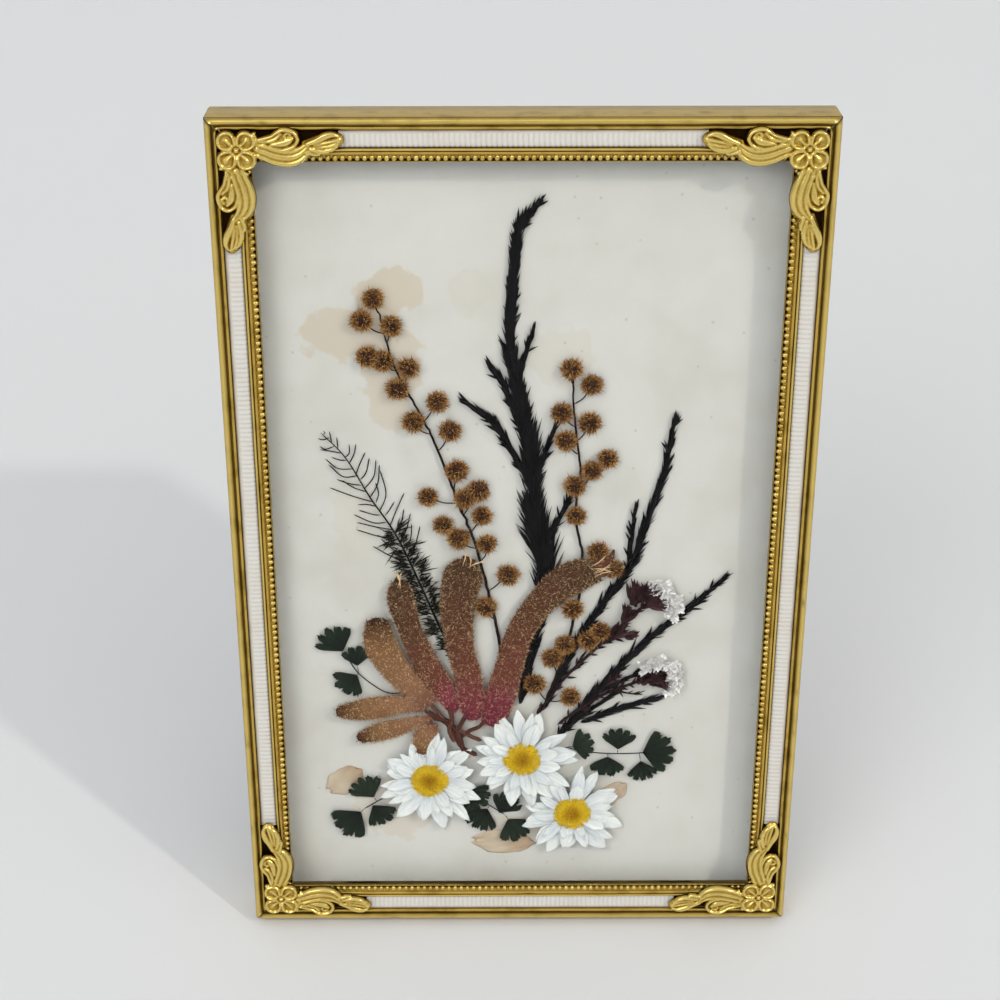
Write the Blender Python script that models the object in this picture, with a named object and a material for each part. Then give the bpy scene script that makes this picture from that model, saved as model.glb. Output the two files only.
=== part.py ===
"""Pressed flower frame: a gilt metal picture frame on an easel strut, with a dried bouquet under its glass.

Sizes below are millimetres. Everything is drawn in the frame's own plane first: u runs across the frame
from its centre line, v up the frame from its bottom edge, and t back from the crest of the moulding's outer
bead. An empty then leans that plane back, and a second empty, on the hinge's axis, opens the strut.
"""

import math

import bmesh
import bpy
from mathutils import Matrix, Vector

MM = 0.001

# Frame
OUTER_WIDTH = 141.0
OUTER_HEIGHT = 217.0
FRAME_DEPTH = 10.8
LEAN_DEG = 14.0
MITRE_GAP = 0.3
FIT_GAP = 0.3
# Faces that would coincide are kept this far apart
HAIR = 0.02

# Moulding section, measured inwards from the outer edge (w) and back from the bead's crest (t)
SHOULDER_T = 1.1
BEAD_W = 0.95
BEAD_RADIUS = 0.8
GROOVE_W = (1.85, 2.05)
GROOVE_T = 1.15
OUTER_FILLET_W = (2.15, 2.7)
OUTER_FILLET_T = 0.6
FILLET_CHAMFER = (0.15, 0.1)
CHANNEL_W = (2.8, 6.95)
CHANNEL_T = 1.7
INNER_FILLET_W = 7.75
INNER_FILLET_RADIUS = 0.75
INNER_FILLET_T = 1.2
PEARL_SEAT_W = 9.35
PEARL_SEAT_RADIUS = 0.65
PEARL_SEAT_T = 1.5
LIP_W = 10.2
LIP_T = 1.6
LIP_BACK_T = 2.2
LIP_ROOT_T = 2.3
CHANNEL_BACK_T = 2.5
OUTER_WALL = 0.9
FLANGE_W = (5.9, 6.6)
FLANGE_BACK_T = 10.5
BEAD_STEPS = 8
PEARL_SEAT_STEPS = 6

# Tabs bent over the backing board
TAB_LENGTH = 9.0
TAB_W = (6.05, 12.5)
TAB_T = (10.3, 10.7)
TAB_SHARE = 0.3

# Ribbon inlay
RIBBON_W = (2.95, 6.8)
RIBBON_T = (1.0, 1.45)
RIBBON_FROM_CORNER = 29.6

# Layers behind the lip: each is (front, back)
PANE_W = 7.1
GLASS_T = (2.5, 4.3)
CARD_T = (7.5, 8.0)
BOARD_T = (8.3, 10.0)
LAYER_BACK = (6.85, 7.2)
LAYER_SPRIG = (6.2, 6.6)
LAYER_PAW = (5.55, 5.95)
LAYER_LOW_DAISY = (5.0, 5.3)
LAYER_TOP_DAISY = (4.55, 4.8)

# Corner ornament: distances from the frame's corner along each arm
ORNAMENT_T = (-0.6, 0.15)
FLOWER_CENTRE = 6.9
PETAL_RADIUS = 2.35
PETAL_REACH = 2.35
EYE_RADIUS = 1.1
EYE_RISE = 0.4
COLLAR_LINE = [(10.6, 6.6), (11.6, 6.4)]
COLLAR_WIDTHS = [5.2, 5.6]
BAND_LINE = [(11.0, 6.6), (14.0, 8.0), (17.5, 8.7), (21.0, 8.0), (24.5, 6.2)]
BAND_WIDTHS = [4.6, 4.6, 4.2, 3.4, 2.2]
BAND_DROP = 0.1
VOLUTE_CENTRE = (17.4, 4.6)
VOLUTE_RADIUS = 2.2
VOLUTE_RISE = 0.25
VOLUTE_STEM_LINE = [(12.0, 4.4), (15.5, 5.2), (18.5, 6.4)]
VOLUTE_STEM_WIDTHS = [1.8, 2.4, 2.0]
BUD_ROOT = (21.6, 7.0)
BUD_TIP = (30.6, 4.7)
BUD_WIDTH = 5.4
BUD_RISE = 0.15
PEG_RADIUS = 0.8
PEG_W = 4.9
PEG_ALONG = 26.0
PEG_T = (-0.3, 1.4)

# Hinge and strut; heights on the strut are counted from the hinge's axis, downwards negative
AXIS_V = 150.0
AXIS_T = 12.9
OPEN_DEG = 25.0
PIN_RADIUS = 0.7
PIN_HALF_LENGTH = 11.6
BORE_RADIUS = 1.0
KNUCKLE_RADIUS = 1.6
OUTER_KNUCKLE_U = (5.0, 11.0)
INNER_KNUCKLE_HALF = 4.6
HINGE_SIDES = 12
PLATE_T = (10.3, 10.9)
PLATE_V = (0.9, 17.0)
PLATE_HALF_WIDTH = 12.0
LEAF_OUT = (1.05, 1.65)
LEAF_HALF_WIDTH = 9.0
LEAF_DROP = 24.0
STOP_HEEL = 6.2
STRUT_OUT = (-1.5, 0.7)
STRUT_TOP = -2.6
STRUT_TOP_HALF = 14.0
STRUT_FOOT_HALF = 25.0
BRIDGE_V = (1.12, 1.7)
LEAF_SHOULDER = (-3.0, -6.0)
PLATE_RIVET_U = 7.0
LEAF_RIVET_U = 6.0
RIVET_HEAD_THICK = 0.6
RIVET_SHANK_REACH = 0.8
RIVET_HEAD_RADIUS = 1.7
RIVET_SHANK_RADIUS = 0.8
RIVET_HOLE_RADIUS = 1.1
PLATE_RIVET_V = 11.0
LEAF_RIVET_V = -16.0

LEAN = math.radians(LEAN_DEG)
STRUT_BACK = math.radians(OPEN_DEG - LEAN_DEG)
AXIS_Y = AXIS_V * math.sin(LEAN) + AXIS_T * math.cos(LEAN)
AXIS_Z = AXIS_V * math.cos(LEAN) + (FRAME_DEPTH - AXIS_T) * math.sin(LEAN)


def strut_foot(out):
    """Height, along the strut, of the point that meets the floor, this far out from the axis."""
    return -(AXIS_Z + out * math.sin(STRUT_BACK)) / math.cos(STRUT_BACK)


# ---------------------------------------------------------------- outlines in the frame's plane


def disc(u, v, radius, sides=12, squash=1.0, turn=0.0):
    angles = [2 * math.pi * i / sides for i in range(sides)]
    ring = [(radius * math.cos(a), radius * squash * math.sin(a)) for a in angles]
    c, s = math.cos(turn), math.sin(turn)
    return [(u + x * c - y * s, v + x * s + y * c) for x, y in ring]


def strip(points, widths):
    """A band along points, as wide at each as widths says, with blunt ends."""
    left, right = [], []
    for i, (u, v) in enumerate(points):
        before = points[max(i - 1, 0)]
        after = points[min(i + 1, len(points) - 1)]
        along = Vector((after[0] - before[0], after[1] - before[1])).normalized()
        half = widths[i] / 2
        left.append((u - along.y * half, v + along.x * half))
        right.append((u + along.y * half, v - along.x * half))
    return left + right[::-1]


def taper(points, widest, root=0.5, tip=0.4):
    """A strip that swells to its widest a third of the way along and thins to its tip."""
    last = len(points) - 1
    widths = []
    for i in range(len(points)):
        share = i / last
        rise = min(1.0, root + (1 - root) * share / 0.35)
        fall = min(1.0, (1 - share) / 0.65)
        widths.append(max(tip, widest * rise * fall))
    return strip(points, widths)


def star(u, v, reach, waist, count, turn=0.0):
    """Pointed petals round a centre: reach and waist are the radii of the tips and of the notches."""
    points = []
    for i in range(count):
        for radius, step in ((reach, 0.0), (reach * 0.72, 0.27), (waist, 0.5), (reach * 0.72, 0.73)):
            angle = turn + 2 * math.pi * (i + step) / count
            points.append((u + radius * math.cos(angle), v + radius * math.sin(angle)))
    return points


def leaf(root, tip, width, sides=5):
    """A leaf or petal with a point at each end."""
    a, b = Vector(root), Vector(tip)
    across = Vector((a.y - b.y, b.x - a.x)).normalized() * width / 2
    shares = [i / (sides + 1) for i in range(1, sides + 1)]
    out = [a.lerp(b, s) + across * math.sin(math.pi * s) for s in shares]
    home = [a.lerp(b, s) - across * math.sin(math.pi * s) for s in reversed(shares)]
    return [tuple(p) for p in [a] + out + [b] + home]


# ---------------------------------------------------------------- solids


def prism(outline, front, back, hole=None):
    """A closed solid from an outline in (u, v), between two depths, with an optional hole."""
    bm = bmesh.new()
    outer = [bm.verts.new((u, front, v)) for u, v in outline]
    if hole is None:
        faces = [bm.faces.new(outer)]
    else:
        inner = [bm.verts.new((u, front, v)) for u, v in hole]
        edges = [bm.edges.new(pair) for loop in (outer, inner) for pair in zip(loop, loop[1:] + loop[:1])]
        faces = bmesh.ops.triangle_fill(bm, edges=edges, use_beauty=True)["geom"]
        faces = [item for item in faces if isinstance(item, bmesh.types.BMFace)]
    grown = bmesh.ops.extrude_face_region(bm, geom=faces)["geom"]
    moved = [item for item in grown if isinstance(item, bmesh.types.BMVert)]
    bmesh.ops.translate(bm, verts=moved, vec=(0, back - front, 0))
    bmesh.ops.recalc_face_normals(bm, faces=bm.faces)
    return bm


def block(low, high):
    """A box between two corners, each (u, t, v)."""
    outline = [(low[0], low[2]), (high[0], low[2]), (high[0], high[2]), (low[0], high[2])]
    return prism(outline, low[1], high[1])


def rod(radius, start, end, t, v, sides=HINGE_SIDES):
    """A solid cylinder along u."""
    bm = bmesh.new()
    turn = Matrix.Translation(((start + end) / 2, t, v)) @ Matrix.Rotation(math.pi / 2, 4, "Y")
    bmesh.ops.create_cone(
        bm, cap_ends=True, segments=sides, radius1=radius, radius2=radius, depth=end - start, matrix=turn
    )
    return bm


def mesh_of(name, bm):
    mesh = bpy.data.meshes.new(name)
    bmesh.ops.scale(bm, vec=(MM, MM, MM), verts=bm.verts)
    bm.to_mesh(mesh)
    bm.free()
    return mesh


def material(name, colour, roughness, metallic=0.0, alpha=1.0):
    made = bpy.data.materials.get(name) or bpy.data.materials.new(name)
    made.use_nodes = True
    shader = made.node_tree.nodes["Principled BSDF"]
    shader.inputs["Base Color"].default_value = (*colour, 1.0)
    shader.inputs["Roughness"].default_value = roughness
    shader.inputs["Metallic"].default_value = metallic
    shader.inputs["Alpha"].default_value = alpha
    return made


def place(name, mesh, parent, finish, smooth_deg=35.0):
    mesh.shade_smooth()
    mesh.set_sharp_from_angle(angle=math.radians(smooth_deg))
    mesh.materials.clear()
    mesh.materials.append(material(name, *finish))
    piece = bpy.data.objects.new(name, mesh)
    bpy.context.scene.collection.objects.link(piece)
    piece.parent = parent
    return piece


def combine(name, base, others, operation):
    """The mesh of base after a Boolean with each of others; the helper objects are removed again."""
    target = bpy.data.objects.new(name, mesh_of(name, base))
    bpy.context.scene.collection.objects.link(target)
    helpers = []
    for i, other in enumerate(others):
        helper = bpy.data.objects.new(f"{name}_helper_{i}", mesh_of(f"{name}_helper", other))
        bpy.context.scene.collection.objects.link(helper)
        helpers.append(helper)
        join = target.modifiers.new(f"join_{i}", "BOOLEAN")
        join.operation = operation
        join.solver = "EXACT"
        join.object = helper
    bpy.context.view_layer.update()
    graph = bpy.context.evaluated_depsgraph_get()
    made = bpy.data.meshes.new_from_object(target.evaluated_get(graph))
    for leftover in [target] + helpers:
        bpy.data.objects.remove(leftover)
    return made


def back_to_bmesh(mesh):
    bm = bmesh.new()
    bm.from_mesh(mesh)
    bmesh.ops.scale(bm, vec=(1 / MM, 1 / MM, 1 / MM), verts=bm.verts)
    return bm


def add_solid(name, bm, parent, finish):
    return place(name, mesh_of(name, bm), parent, finish)


# ---------------------------------------------------------------- finishes

# Each is colour, roughness, then metallic and alpha where they differ from 0 and 1

GILT = ((0.55, 0.40, 0.12), 0.35, 1.0)
BRASS = ((0.66, 0.47, 0.15), 0.3, 1.0)
RIBBON = ((0.78, 0.75, 0.71), 0.8)
GLASS = ((0.95, 0.97, 0.96), 0.05, 0.0, 0.25)
CARD = ((0.62, 0.60, 0.56), 0.9)
BOARD = ((0.10, 0.07, 0.05), 0.85)
STEEL = ((0.45, 0.36, 0.18), 0.4, 1.0)
DARK_SPRIG = ((0.012, 0.012, 0.018), 0.7)
HEATH = ((0.03, 0.035, 0.02), 0.75)
WATTLE = ((0.30, 0.15, 0.04), 0.9)
PAW = ((0.32, 0.16, 0.09), 0.9)
PAW_TAN = ((0.42, 0.26, 0.13), 0.9)
STEM = ((0.10, 0.04, 0.03), 0.8)
RICE = ((0.12, 0.05, 0.05), 0.85)
FERN = ((0.02, 0.035, 0.02), 0.7)
PETAL = ((0.80, 0.81, 0.84), 0.6)
DAISY_EYE = ((0.62, 0.40, 0.03), 0.8)
LOOSE_PETAL = ((0.62, 0.50, 0.40), 0.7)


# ---------------------------------------------------------------- moulding


def half_round(centre_w, crest_base_t, radius, steps=BEAD_STEPS):
    """Points over a half-round ridge, from its outer foot to its inner foot."""
    angles = [math.pi * i / steps for i in range(steps + 1)]
    return [(centre_w - radius * math.cos(a), crest_base_t - radius * math.sin(a)) for a in angles]


def moulding_section():
    front = [(0.0, SHOULDER_T)]
    front += half_round(BEAD_W, BEAD_RADIUS, BEAD_RADIUS)
    front += [(GROOVE_W[0], GROOVE_T), (GROOVE_W[1], GROOVE_T)]
    outer_w, inner_w = OUTER_FILLET_W
    chamfer_w, chamfer_t = FILLET_CHAMFER
    front += [(outer_w, OUTER_FILLET_T + chamfer_t), (outer_w + chamfer_w, OUTER_FILLET_T)]
    front += [(inner_w - chamfer_w, OUTER_FILLET_T), (inner_w, OUTER_FILLET_T + chamfer_t)]
    front += [(CHANNEL_W[0], CHANNEL_T), (CHANNEL_W[1], CHANNEL_T)]
    front += half_round(INNER_FILLET_W, INNER_FILLET_T, INNER_FILLET_RADIUS)
    front += half_round(PEARL_SEAT_W, PEARL_SEAT_T, PEARL_SEAT_RADIUS, PEARL_SEAT_STEPS)
    front += [(LIP_W, LIP_T)]
    back = [(LIP_W, LIP_BACK_T), (FLANGE_W[1], LIP_ROOT_T), (FLANGE_W[1], FLANGE_BACK_T)]
    back += [(FLANGE_W[0], FLANGE_BACK_T), (FLANGE_W[0], CHANNEL_BACK_T)]
    back += [(OUTER_WALL, CHANNEL_BACK_T), (OUTER_WALL, FRAME_DEPTH), (0.0, FRAME_DEPTH)]
    return front + back


def rail_point(side, s, w, t):
    """A point of a rail in frame coordinates: s along it from its middle, w inwards from its outer edge."""
    if side == "bottom":
        return (s, t, w)
    if side == "top":
        return (s, t, OUTER_HEIGHT - w)
    if side == "left":
        return (-OUTER_WIDTH / 2 + w, t, OUTER_HEIGHT / 2 + s)
    return (OUTER_WIDTH / 2 - w, t, OUTER_HEIGHT / 2 + s)


def rail_length(side):
    return OUTER_WIDTH if side in ("bottom", "top") else OUTER_HEIGHT


def rail_block(side, s_range, w_range, t_range):
    corners = [rail_point(side, s_range[i], w_range[i], t_range[i]) for i in (0, 1)]
    low = [min(pair) for pair in zip(*corners)]
    high = [max(pair) for pair in zip(*corners)]
    return block(low, high)


def moulding(side):
    """A rail swept along its length, with its ends cut on the mitre."""
    section = moulding_section()
    back_off = MITRE_GAP / 2 * math.sqrt(2)
    bm = bmesh.new()
    rings = []
    for end in (-1, 1):
        ring = []
        for w, t in section:
            reach = rail_length(side) / 2 - w - back_off
            ring.append(bm.verts.new(rail_point(side, end * reach, w, t)))
        rings.append(ring)
    count = len(section)
    for i in range(count):
        j = (i + 1) % count
        bm.faces.new((rings[0][i], rings[0][j], rings[1][j], rings[1][i]))
    bm.faces.new(rings[0])
    bm.faces.new(rings[1][::-1])
    bmesh.ops.recalc_face_normals(bm, faces=bm.faces)
    return bm


def build_rails(parent):
    for side in ("top", "bottom", "left", "right"):
        tabs = []
        for end in (-1, 1):
            middle = end * TAB_SHARE * rail_length(side)
            span = (middle - TAB_LENGTH / 2, middle + TAB_LENGTH / 2)
            tabs.append(rail_block(side, span, TAB_W, TAB_T))
        mesh = combine(f"rail_{side}", moulding(side), tabs, "UNION")
        place(f"rail_{side}", mesh, parent, GILT, 50.0)
        half = rail_length(side) / 2 - RIBBON_FROM_CORNER
        ribbon = rail_block(side, (-half, half), RIBBON_W, RIBBON_T)
        add_solid(f"ribbon_inlay_{side}", ribbon, parent, RIBBON)


# ---------------------------------------------------------------- corner ornaments


def ornament_shapes():
    """The ornament's overlapping raised shapes, as (outline, front, back), a is along and b across an arm.

    Each shape is a hair thicker or thinner than its neighbours, so that no two faces coincide.
    """
    front, back = ORNAMENT_T
    c = FLOWER_CENTRE
    shapes = []
    for i in range(4):
        turn = math.pi / 4 + i * math.pi / 2
        outline = disc(c + PETAL_REACH * math.cos(turn), c + PETAL_REACH * math.sin(turn), PETAL_RADIUS, 9)
        shapes.append((outline, front - HAIR * i, back - HAIR * i))
    shapes.append((disc(c, c, EYE_RADIUS, 7), front - EYE_RISE, back + HAIR))
    shapes.append((disc(PEG_W, PEG_W, PEG_RADIUS, 6), PEG_T[0], PEG_T[1]))
    arm = (
        (strip(COLLAR_LINE, COLLAR_WIDTHS), front - BAND_DROP),
        (strip(BAND_LINE, BAND_WIDTHS), front + BAND_DROP),
        (disc(*VOLUTE_CENTRE, VOLUTE_RADIUS, 8), front - VOLUTE_RISE),
        (strip(VOLUTE_STEM_LINE, VOLUTE_STEM_WIDTHS), front - BAND_DROP / 2),
        (leaf(BUD_ROOT, BUD_TIP, BUD_WIDTH, 5), front - BUD_RISE),
    )
    for flip in (False, True):
        shift = HAIR / 2 if flip else 0.0
        turned = [([(b, a) for a, b in outline] if flip else outline, near) for outline, near in arm]
        for place_in_arm, (outline, near) in enumerate(turned, 5):
            shapes.append((outline, near - shift, back - HAIR * place_in_arm - shift))
        peg = (PEG_W, PEG_ALONG) if flip else (PEG_ALONG, PEG_W)
        shapes.append((disc(*peg, PEG_RADIUS, 6), PEG_T[0] - shift, PEG_T[1] - HAIR - shift))
    return shapes


def build_ornaments(parent):
    for row, rising in (("top", False), ("bottom", True)):
        for column, rightwards in (("left", True), ("right", False)):
            solids = []
            for outline, near, far in ornament_shapes():
                points = []
                for a, b in outline:
                    u = -OUTER_WIDTH / 2 + a if rightwards else OUTER_WIDTH / 2 - a
                    v = b if rising else OUTER_HEIGHT - b
                    points.append((u, v))
                solids.append(prism(points, near, far))
            name = f"corner_ornament_{row}_{column}"
            place(name, combine(name, solids[0], solids[1:], "UNION"), parent, BRASS)


# ---------------------------------------------------------------- pane, card and board


def build_sheets(parent):
    low_u = -OUTER_WIDTH / 2 + PANE_W
    sheets = (
        ("glass_pane", GLASS_T, GLASS, 0.0),
        ("mount_card", CARD_T, CARD, 0.1),
        ("backing_board", BOARD_T, BOARD, 0.0),
    )
    for name, span, finish, inset in sheets:
        low = (low_u + inset, span[0], PANE_W + inset)
        high = (-low_u - inset, span[1], OUTER_HEIGHT - PANE_W - inset)
        add_solid(name, block(low, high), parent, finish)


# ---------------------------------------------------------------- pressed plants

DAISIES = (
    ("left", (-23.5, 40.7), 15.4, 13, 0.15, LAYER_LOW_DAISY),
    ("middle", (0.5, 47.4), 15.6, 14, 0.30, LAYER_TOP_DAISY),
    ("right", (13.7, 30.5), 14.6, 13, 0.05, LAYER_LOW_DAISY),
)
DAISY_NOTCH = 0.6
DAISY_EYE_RADIUS = 5.0
DAISY_EYE_T = (4.6, 5.5)

PAWS = (
    ([(-8.2, 58.5), (-5.0, 66.0), (-2.6, 75.0), (-0.4, 84.0), (4.6, 92.6), (12.0, 99.6), (19.4, 102.6)],
     [3.0, 7.0, 7.8, 7.6, 7.8, 9.6, 7.0]),
    ([(-13.8, 60.4), (-12.8, 65.4), (-13.6, 73.0), (-15.4, 81.5), (-15.8, 92.6), (-14.2, 101.0),
      (-12.8, 105.0)],
     [2.4, 6.0, 7.4, 7.6, 9.4, 10.4, 5.0]),
    ([(-18.0, 62.6), (-19.6, 67.0), (-23.0, 73.5), (-27.9, 84.7), (-30.5, 94.5), (-30.4, 99.4)],
     [2.0, 4.2, 7.4, 8.2, 8.2, 4.0]),
    ([(-23.6, 65.2), (-27.2, 67.8), (-32.0, 73.2), (-35.8, 80.6), (-36.6, 88.0)],
     [2.0, 4.4, 5.6, 5.4, 3.0]),
    ([(-24.2, 62.0), (-30.0, 63.2), (-39.3, 61.6), (-47.2, 61.8)],
     [1.6, 4.0, 5.4, 2.6]),
    ([(-22.6, 59.6), (-27.5, 58.3), (-35.7, 55.8), (-42.0, 54.6)],
     [1.2, 2.6, 4.2, 2.0]),
    ([(-21.8, 57.8), (-24.6, 54.2), (-25.8, 49.2)],
     [1.4, 5.0, 2.6]),
)
PAW_STEM = [(-19.6, 58.4), (-17.0, 57.2), (-15.6, 52.0), (-11.0, 49.0)]
PAW_STEM_WIDTHS = [1.0, 1.4, 1.4, 1.2]

WATTLE_BALL = 2.9
WATTLE_STEM_WIDTH = 0.7
WATTLE_STEM_FOOT = 1.0
WATTLE_STALK_WIDTH = 0.6
WATTLES = {
    "left": (
        [(-33.5, 170.0), (-29.9, 155.5), (-21.9, 138.8), (-14.9, 118.9), (-11.3, 109.3), (-7.7, 93.9),
         (-5.2, 79.6), (-4.6, 66.0)],
        [(-34.6, 173.0), (-37.5, 167.6), (-30.6, 166.3), (-36.4, 158.6), (-32.7, 157.6), (-26.8, 155.8),
         (-29.5, 150.5), (-20.1, 147.1), (-25.9, 142.0), (-17.1, 139.6), (-15.6, 129.1), (-10.5, 123.7),
         (-13.7, 121.6), (-22.7, 122.1), (-9.6, 117.0), (-19.1, 114.5), (-15.3, 110.7), (-8.4, 109.3),
         (-3.2, 100.7), (-8.7, 91.7)],
    ),
    "right": (
        [(12.0, 156.0), (12.6, 143.0), (14.4, 128.0), (13.2, 117.0), (15.4, 104.0), (13.8, 90.0),
         (10.6, 76.0), (6.6, 64.0)],
        [(11.8, 155.4), (16.6, 151.4), (9.6, 144.2), (16.3, 141.6), (10.7, 136.9), (20.8, 132.2),
         (17.1, 129.0), (13.0, 125.0), (13.4, 116.9), (18.8, 105.1), (20.8, 100.9), (13.0, 91.1),
         (19.2, 83.9), (9.4, 79.6), (3.7, 69.3), (12.7, 65.5)],
    ),
}

# Dark sprigs: a main stem with its leaves' spread, then side shoots, each from root to tip
SCALE_LEAF_SPRIGS = (
    ("tall",
     [(0.0, 63.0), (3.0, 80.0), (6.0, 98.1), (3.4, 116.1), (2.0, 134.8), (-0.4, 147.8), (-2.8, 160.5),
      (-2.4, 172.9), (-1.7, 182.6), (-0.6, 191.0), (2.4, 194.5), (5.7, 198.0)],
     [2.0, 4.0, 8.0, 6.6, 5.6, 4.2, 3.4, 2.8, 2.6, 2.2, 1.5, 0.6],
     ([(0.8, 137.0), (-3.8, 150.0), (-8.7, 157.3)], [(1.4, 127.0), (-6.6, 141.0), (-15.1, 148.4)],
      [(-1.4, 152.0), (3.0, 166.7)], [(2.4, 124.0), (8.0, 140.1)], [(4.6, 105.0), (11.8, 121.5)])),
    ("right_upper",
     [(6.4, 62.0), (13.7, 79.6), (19.8, 91.0), (27.0, 102.3), (30.3, 113.3), (34.7, 129.5), (37.0, 143.9)],
     [2.0, 3.4, 3.4, 3.2, 3.2, 2.4, 0.8],
     ([(26.6, 103.0), (27.8, 117.4)],)),
    ("right_lower",
     [(10.0, 53.4), (14.0, 58.9), (22.8, 70.8), (32.6, 82.4), (42.3, 91.0), (51.4, 100.0)],
     [2.0, 5.4, 5.2, 3.6, 2.4, 0.8],
     ([(21.0, 67.0), (31.0, 72.6)],)),
)
SHOOT_WIDTH = 2.4
NEEDLE_SPRIG_WIDTH = 3.2
NEEDLE_SPRIG = [(15.6, 57.6), (25.0, 61.4), (35.7, 64.8)]
HEATH_STEM = [(-12.6, 66.0), (-16.6, 76.7), (-20.3, 85.4), (-29.8, 109.4), (-36.8, 121.6), (-42.5, 132.3),
              (-48.2, 138.9)]
HEATH_SPREAD = [1.6, 4.0, 8.0, 9.0, 7.0, 5.0, 1.0]

RICE_STEM_WIDTH = 1.0
RICE_HEAD_SQUASH = 0.72
RICE_HEAD_TURN_DEG = 40.0
RICE_FLOWERS = (
    ("upper", [(4.4, 60.0), (10.6, 70.0), (17.6, 78.0), (24.0, 84.6), (30.0, 91.0)], (34.6, 95.6), 6.4),
    ("lower", [(9.6, 57.0), (15.0, 61.6), (22.0, 66.4), (30.0, 69.8)], (35.4, 72.4), 4.8),
)

FERN_LEAFLET = 3.9
FERN_STALK_WIDTH = 0.5
# A stalk leaves its stem this far below what it carries
STALK_DROP = 3.0
FERN_FRONDS = (
    ("upper_left", [(-30.0, 66.4), (-34.7, 66.8), (-41.0, 72.0), (-44.4, 78.0)],
     ((-46.8, 81.8), (-41.6, 77.2), (-43.7, 69.6))),
    ("right", [(11.6, 49.8), (20.0, 48.2), (29.0, 48.0), (35.0, 48.6)],
     ((16.2, 50.9), (25.5, 52.4), (22.6, 44.2), (31.8, 42.9), (35.7, 48.8))),
    ("lower_left", [(-30.0, 36.4), (-35.0, 34.8), (-41.0, 31.0)],
     ((-40.1, 37.6), (-44.6, 27.2), (-36.9, 29.6))),
    ("bottom_centre", [(-15.4, 37.0), (-10.0, 33.4), (-4.0, 29.0)],
     ((-11.8, 34.6), (-10.3, 28.1), (-3.9, 32.4), (-1.3, 24.9))),
)

LOOSE_PETALS = (
    ("left", (-50.2, 36.4), (-41.6, 42.6), 7.6),
    ("bottom", (-12.6, 20.6), (3.4, 19.6), 7.0),
    ("right", (19.0, 31.0), (27.6, 38.0), 6.4),
)


def nearest_root(ball, stem):
    """Where a flower head's stalk leaves the stem: the nearest point, a little below the head."""
    best = None
    steps = 8
    for (u0, v0), (u1, v1) in zip(stem, stem[1:]):
        for step in range(steps + 1):
            share = step / steps
            u, v = u0 + (u1 - u0) * share, v0 + (v1 - v0) * share
            away = math.hypot(u - ball[0], v - (ball[1] - STALK_DROP))
            if best is None or away < best[0]:
                best = (away, (u, v))
    return best[1]


def layered(shapes, layer):
    """Overlapping outlines as solids whose depths differ by a hair, so that their faces never coincide."""
    front, back = layer
    step = 0.1 / max(len(shapes), 1)
    return [prism(outline, front + step * i, back - step * i) for i, outline in enumerate(shapes)]


def add_plant(name, shapes, layer, parent, finish):
    solids = layered(shapes, layer)
    place(name, combine(name, solids[0], solids[1:], "UNION"), parent, finish)


def build_daisies(parent):
    for side, (u, v), reach, petals, turn, layer in DAISIES:
        eye_hole = disc(u, v, DAISY_EYE_RADIUS + FIT_GAP, 20)
        outline = star(u, v, reach, reach * DAISY_NOTCH, petals, turn)
        ring = prism(outline, layer[0], layer[1], eye_hole)
        add_solid(f"daisy_{side}_petals", ring, parent, PETAL)
        eye = prism(disc(u, v, DAISY_EYE_RADIUS, 20), *DAISY_EYE_T)
        add_solid(f"daisy_{side}_centre", eye, parent, DAISY_EYE)


def build_paws(parent):
    for number, (points, widths) in enumerate(PAWS, 1):
        finish = PAW if number < 4 else PAW_TAN
        flower = prism(strip(points, widths), *LAYER_PAW)
        add_solid(f"kangaroo_paw_flower_{number}", flower, parent, finish)
    stem = prism(strip(PAW_STEM, PAW_STEM_WIDTHS), *LAYER_PAW)
    add_solid("kangaroo_paw_stem", stem, parent, STEM)


def build_wattle(parent):
    for side, (stem, balls) in WATTLES.items():
        shapes = [strip(stem, [WATTLE_STEM_WIDTH] * (len(stem) - 1) + [WATTLE_STEM_FOOT])]
        shapes += [disc(u, v, WATTLE_BALL, 7) for u, v in balls]
        for ball in balls:
            root = nearest_root(ball, stem)
            if math.dist(root, ball) > WATTLE_BALL:
                shapes.append(strip([root, ball], [WATTLE_STALK_WIDTH] * 2))
        add_plant(f"wattle_sprig_{side}", shapes, LAYER_SPRIG, parent, WATTLE)


def build_sprigs(parent):
    for place_name, stem, widths, shoots in SCALE_LEAF_SPRIGS:
        shapes = [strip(stem, widths)]
        shapes += [taper(shoot, SHOOT_WIDTH) for shoot in shoots]
        add_plant(f"scale_leaf_sprig_{place_name}", shapes, LAYER_BACK, parent, DARK_SPRIG)
    needles = taper(NEEDLE_SPRIG, NEEDLE_SPRIG_WIDTH)
    add_solid("needle_leaf_sprig", prism(needles, *LAYER_SPRIG), parent, DARK_SPRIG)
    add_solid("heath_sprig", prism(strip(HEATH_STEM, HEATH_SPREAD), *LAYER_BACK), parent, HEATH)


def build_rice_flowers(parent):
    for level, stem, head, radius in RICE_FLOWERS:
        shapes = [strip(stem + [head], [RICE_STEM_WIDTH] * (len(stem) + 1))]
        turn = math.radians(RICE_HEAD_TURN_DEG)
        shapes.append(disc(head[0], head[1], radius, 14, RICE_HEAD_SQUASH, turn))
        add_plant(f"rice_flower_{level}", shapes, LAYER_PAW, parent, RICE)


def build_ferns(parent):
    for place_name, stem, leaflets in FERN_FRONDS:
        shapes = [strip(stem, [FERN_STALK_WIDTH] * len(stem))]
        shapes += [disc(u, v, FERN_LEAFLET, 10) for u, v in leaflets]
        for u, v in leaflets:
            root = nearest_root((u, v + STALK_DROP), stem)
            shapes.append(strip([root, (u, v)], [FERN_STALK_WIDTH] * 2))
        add_plant(f"maidenhair_frond_{place_name}", shapes, LAYER_SPRIG, parent, FERN)


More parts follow.
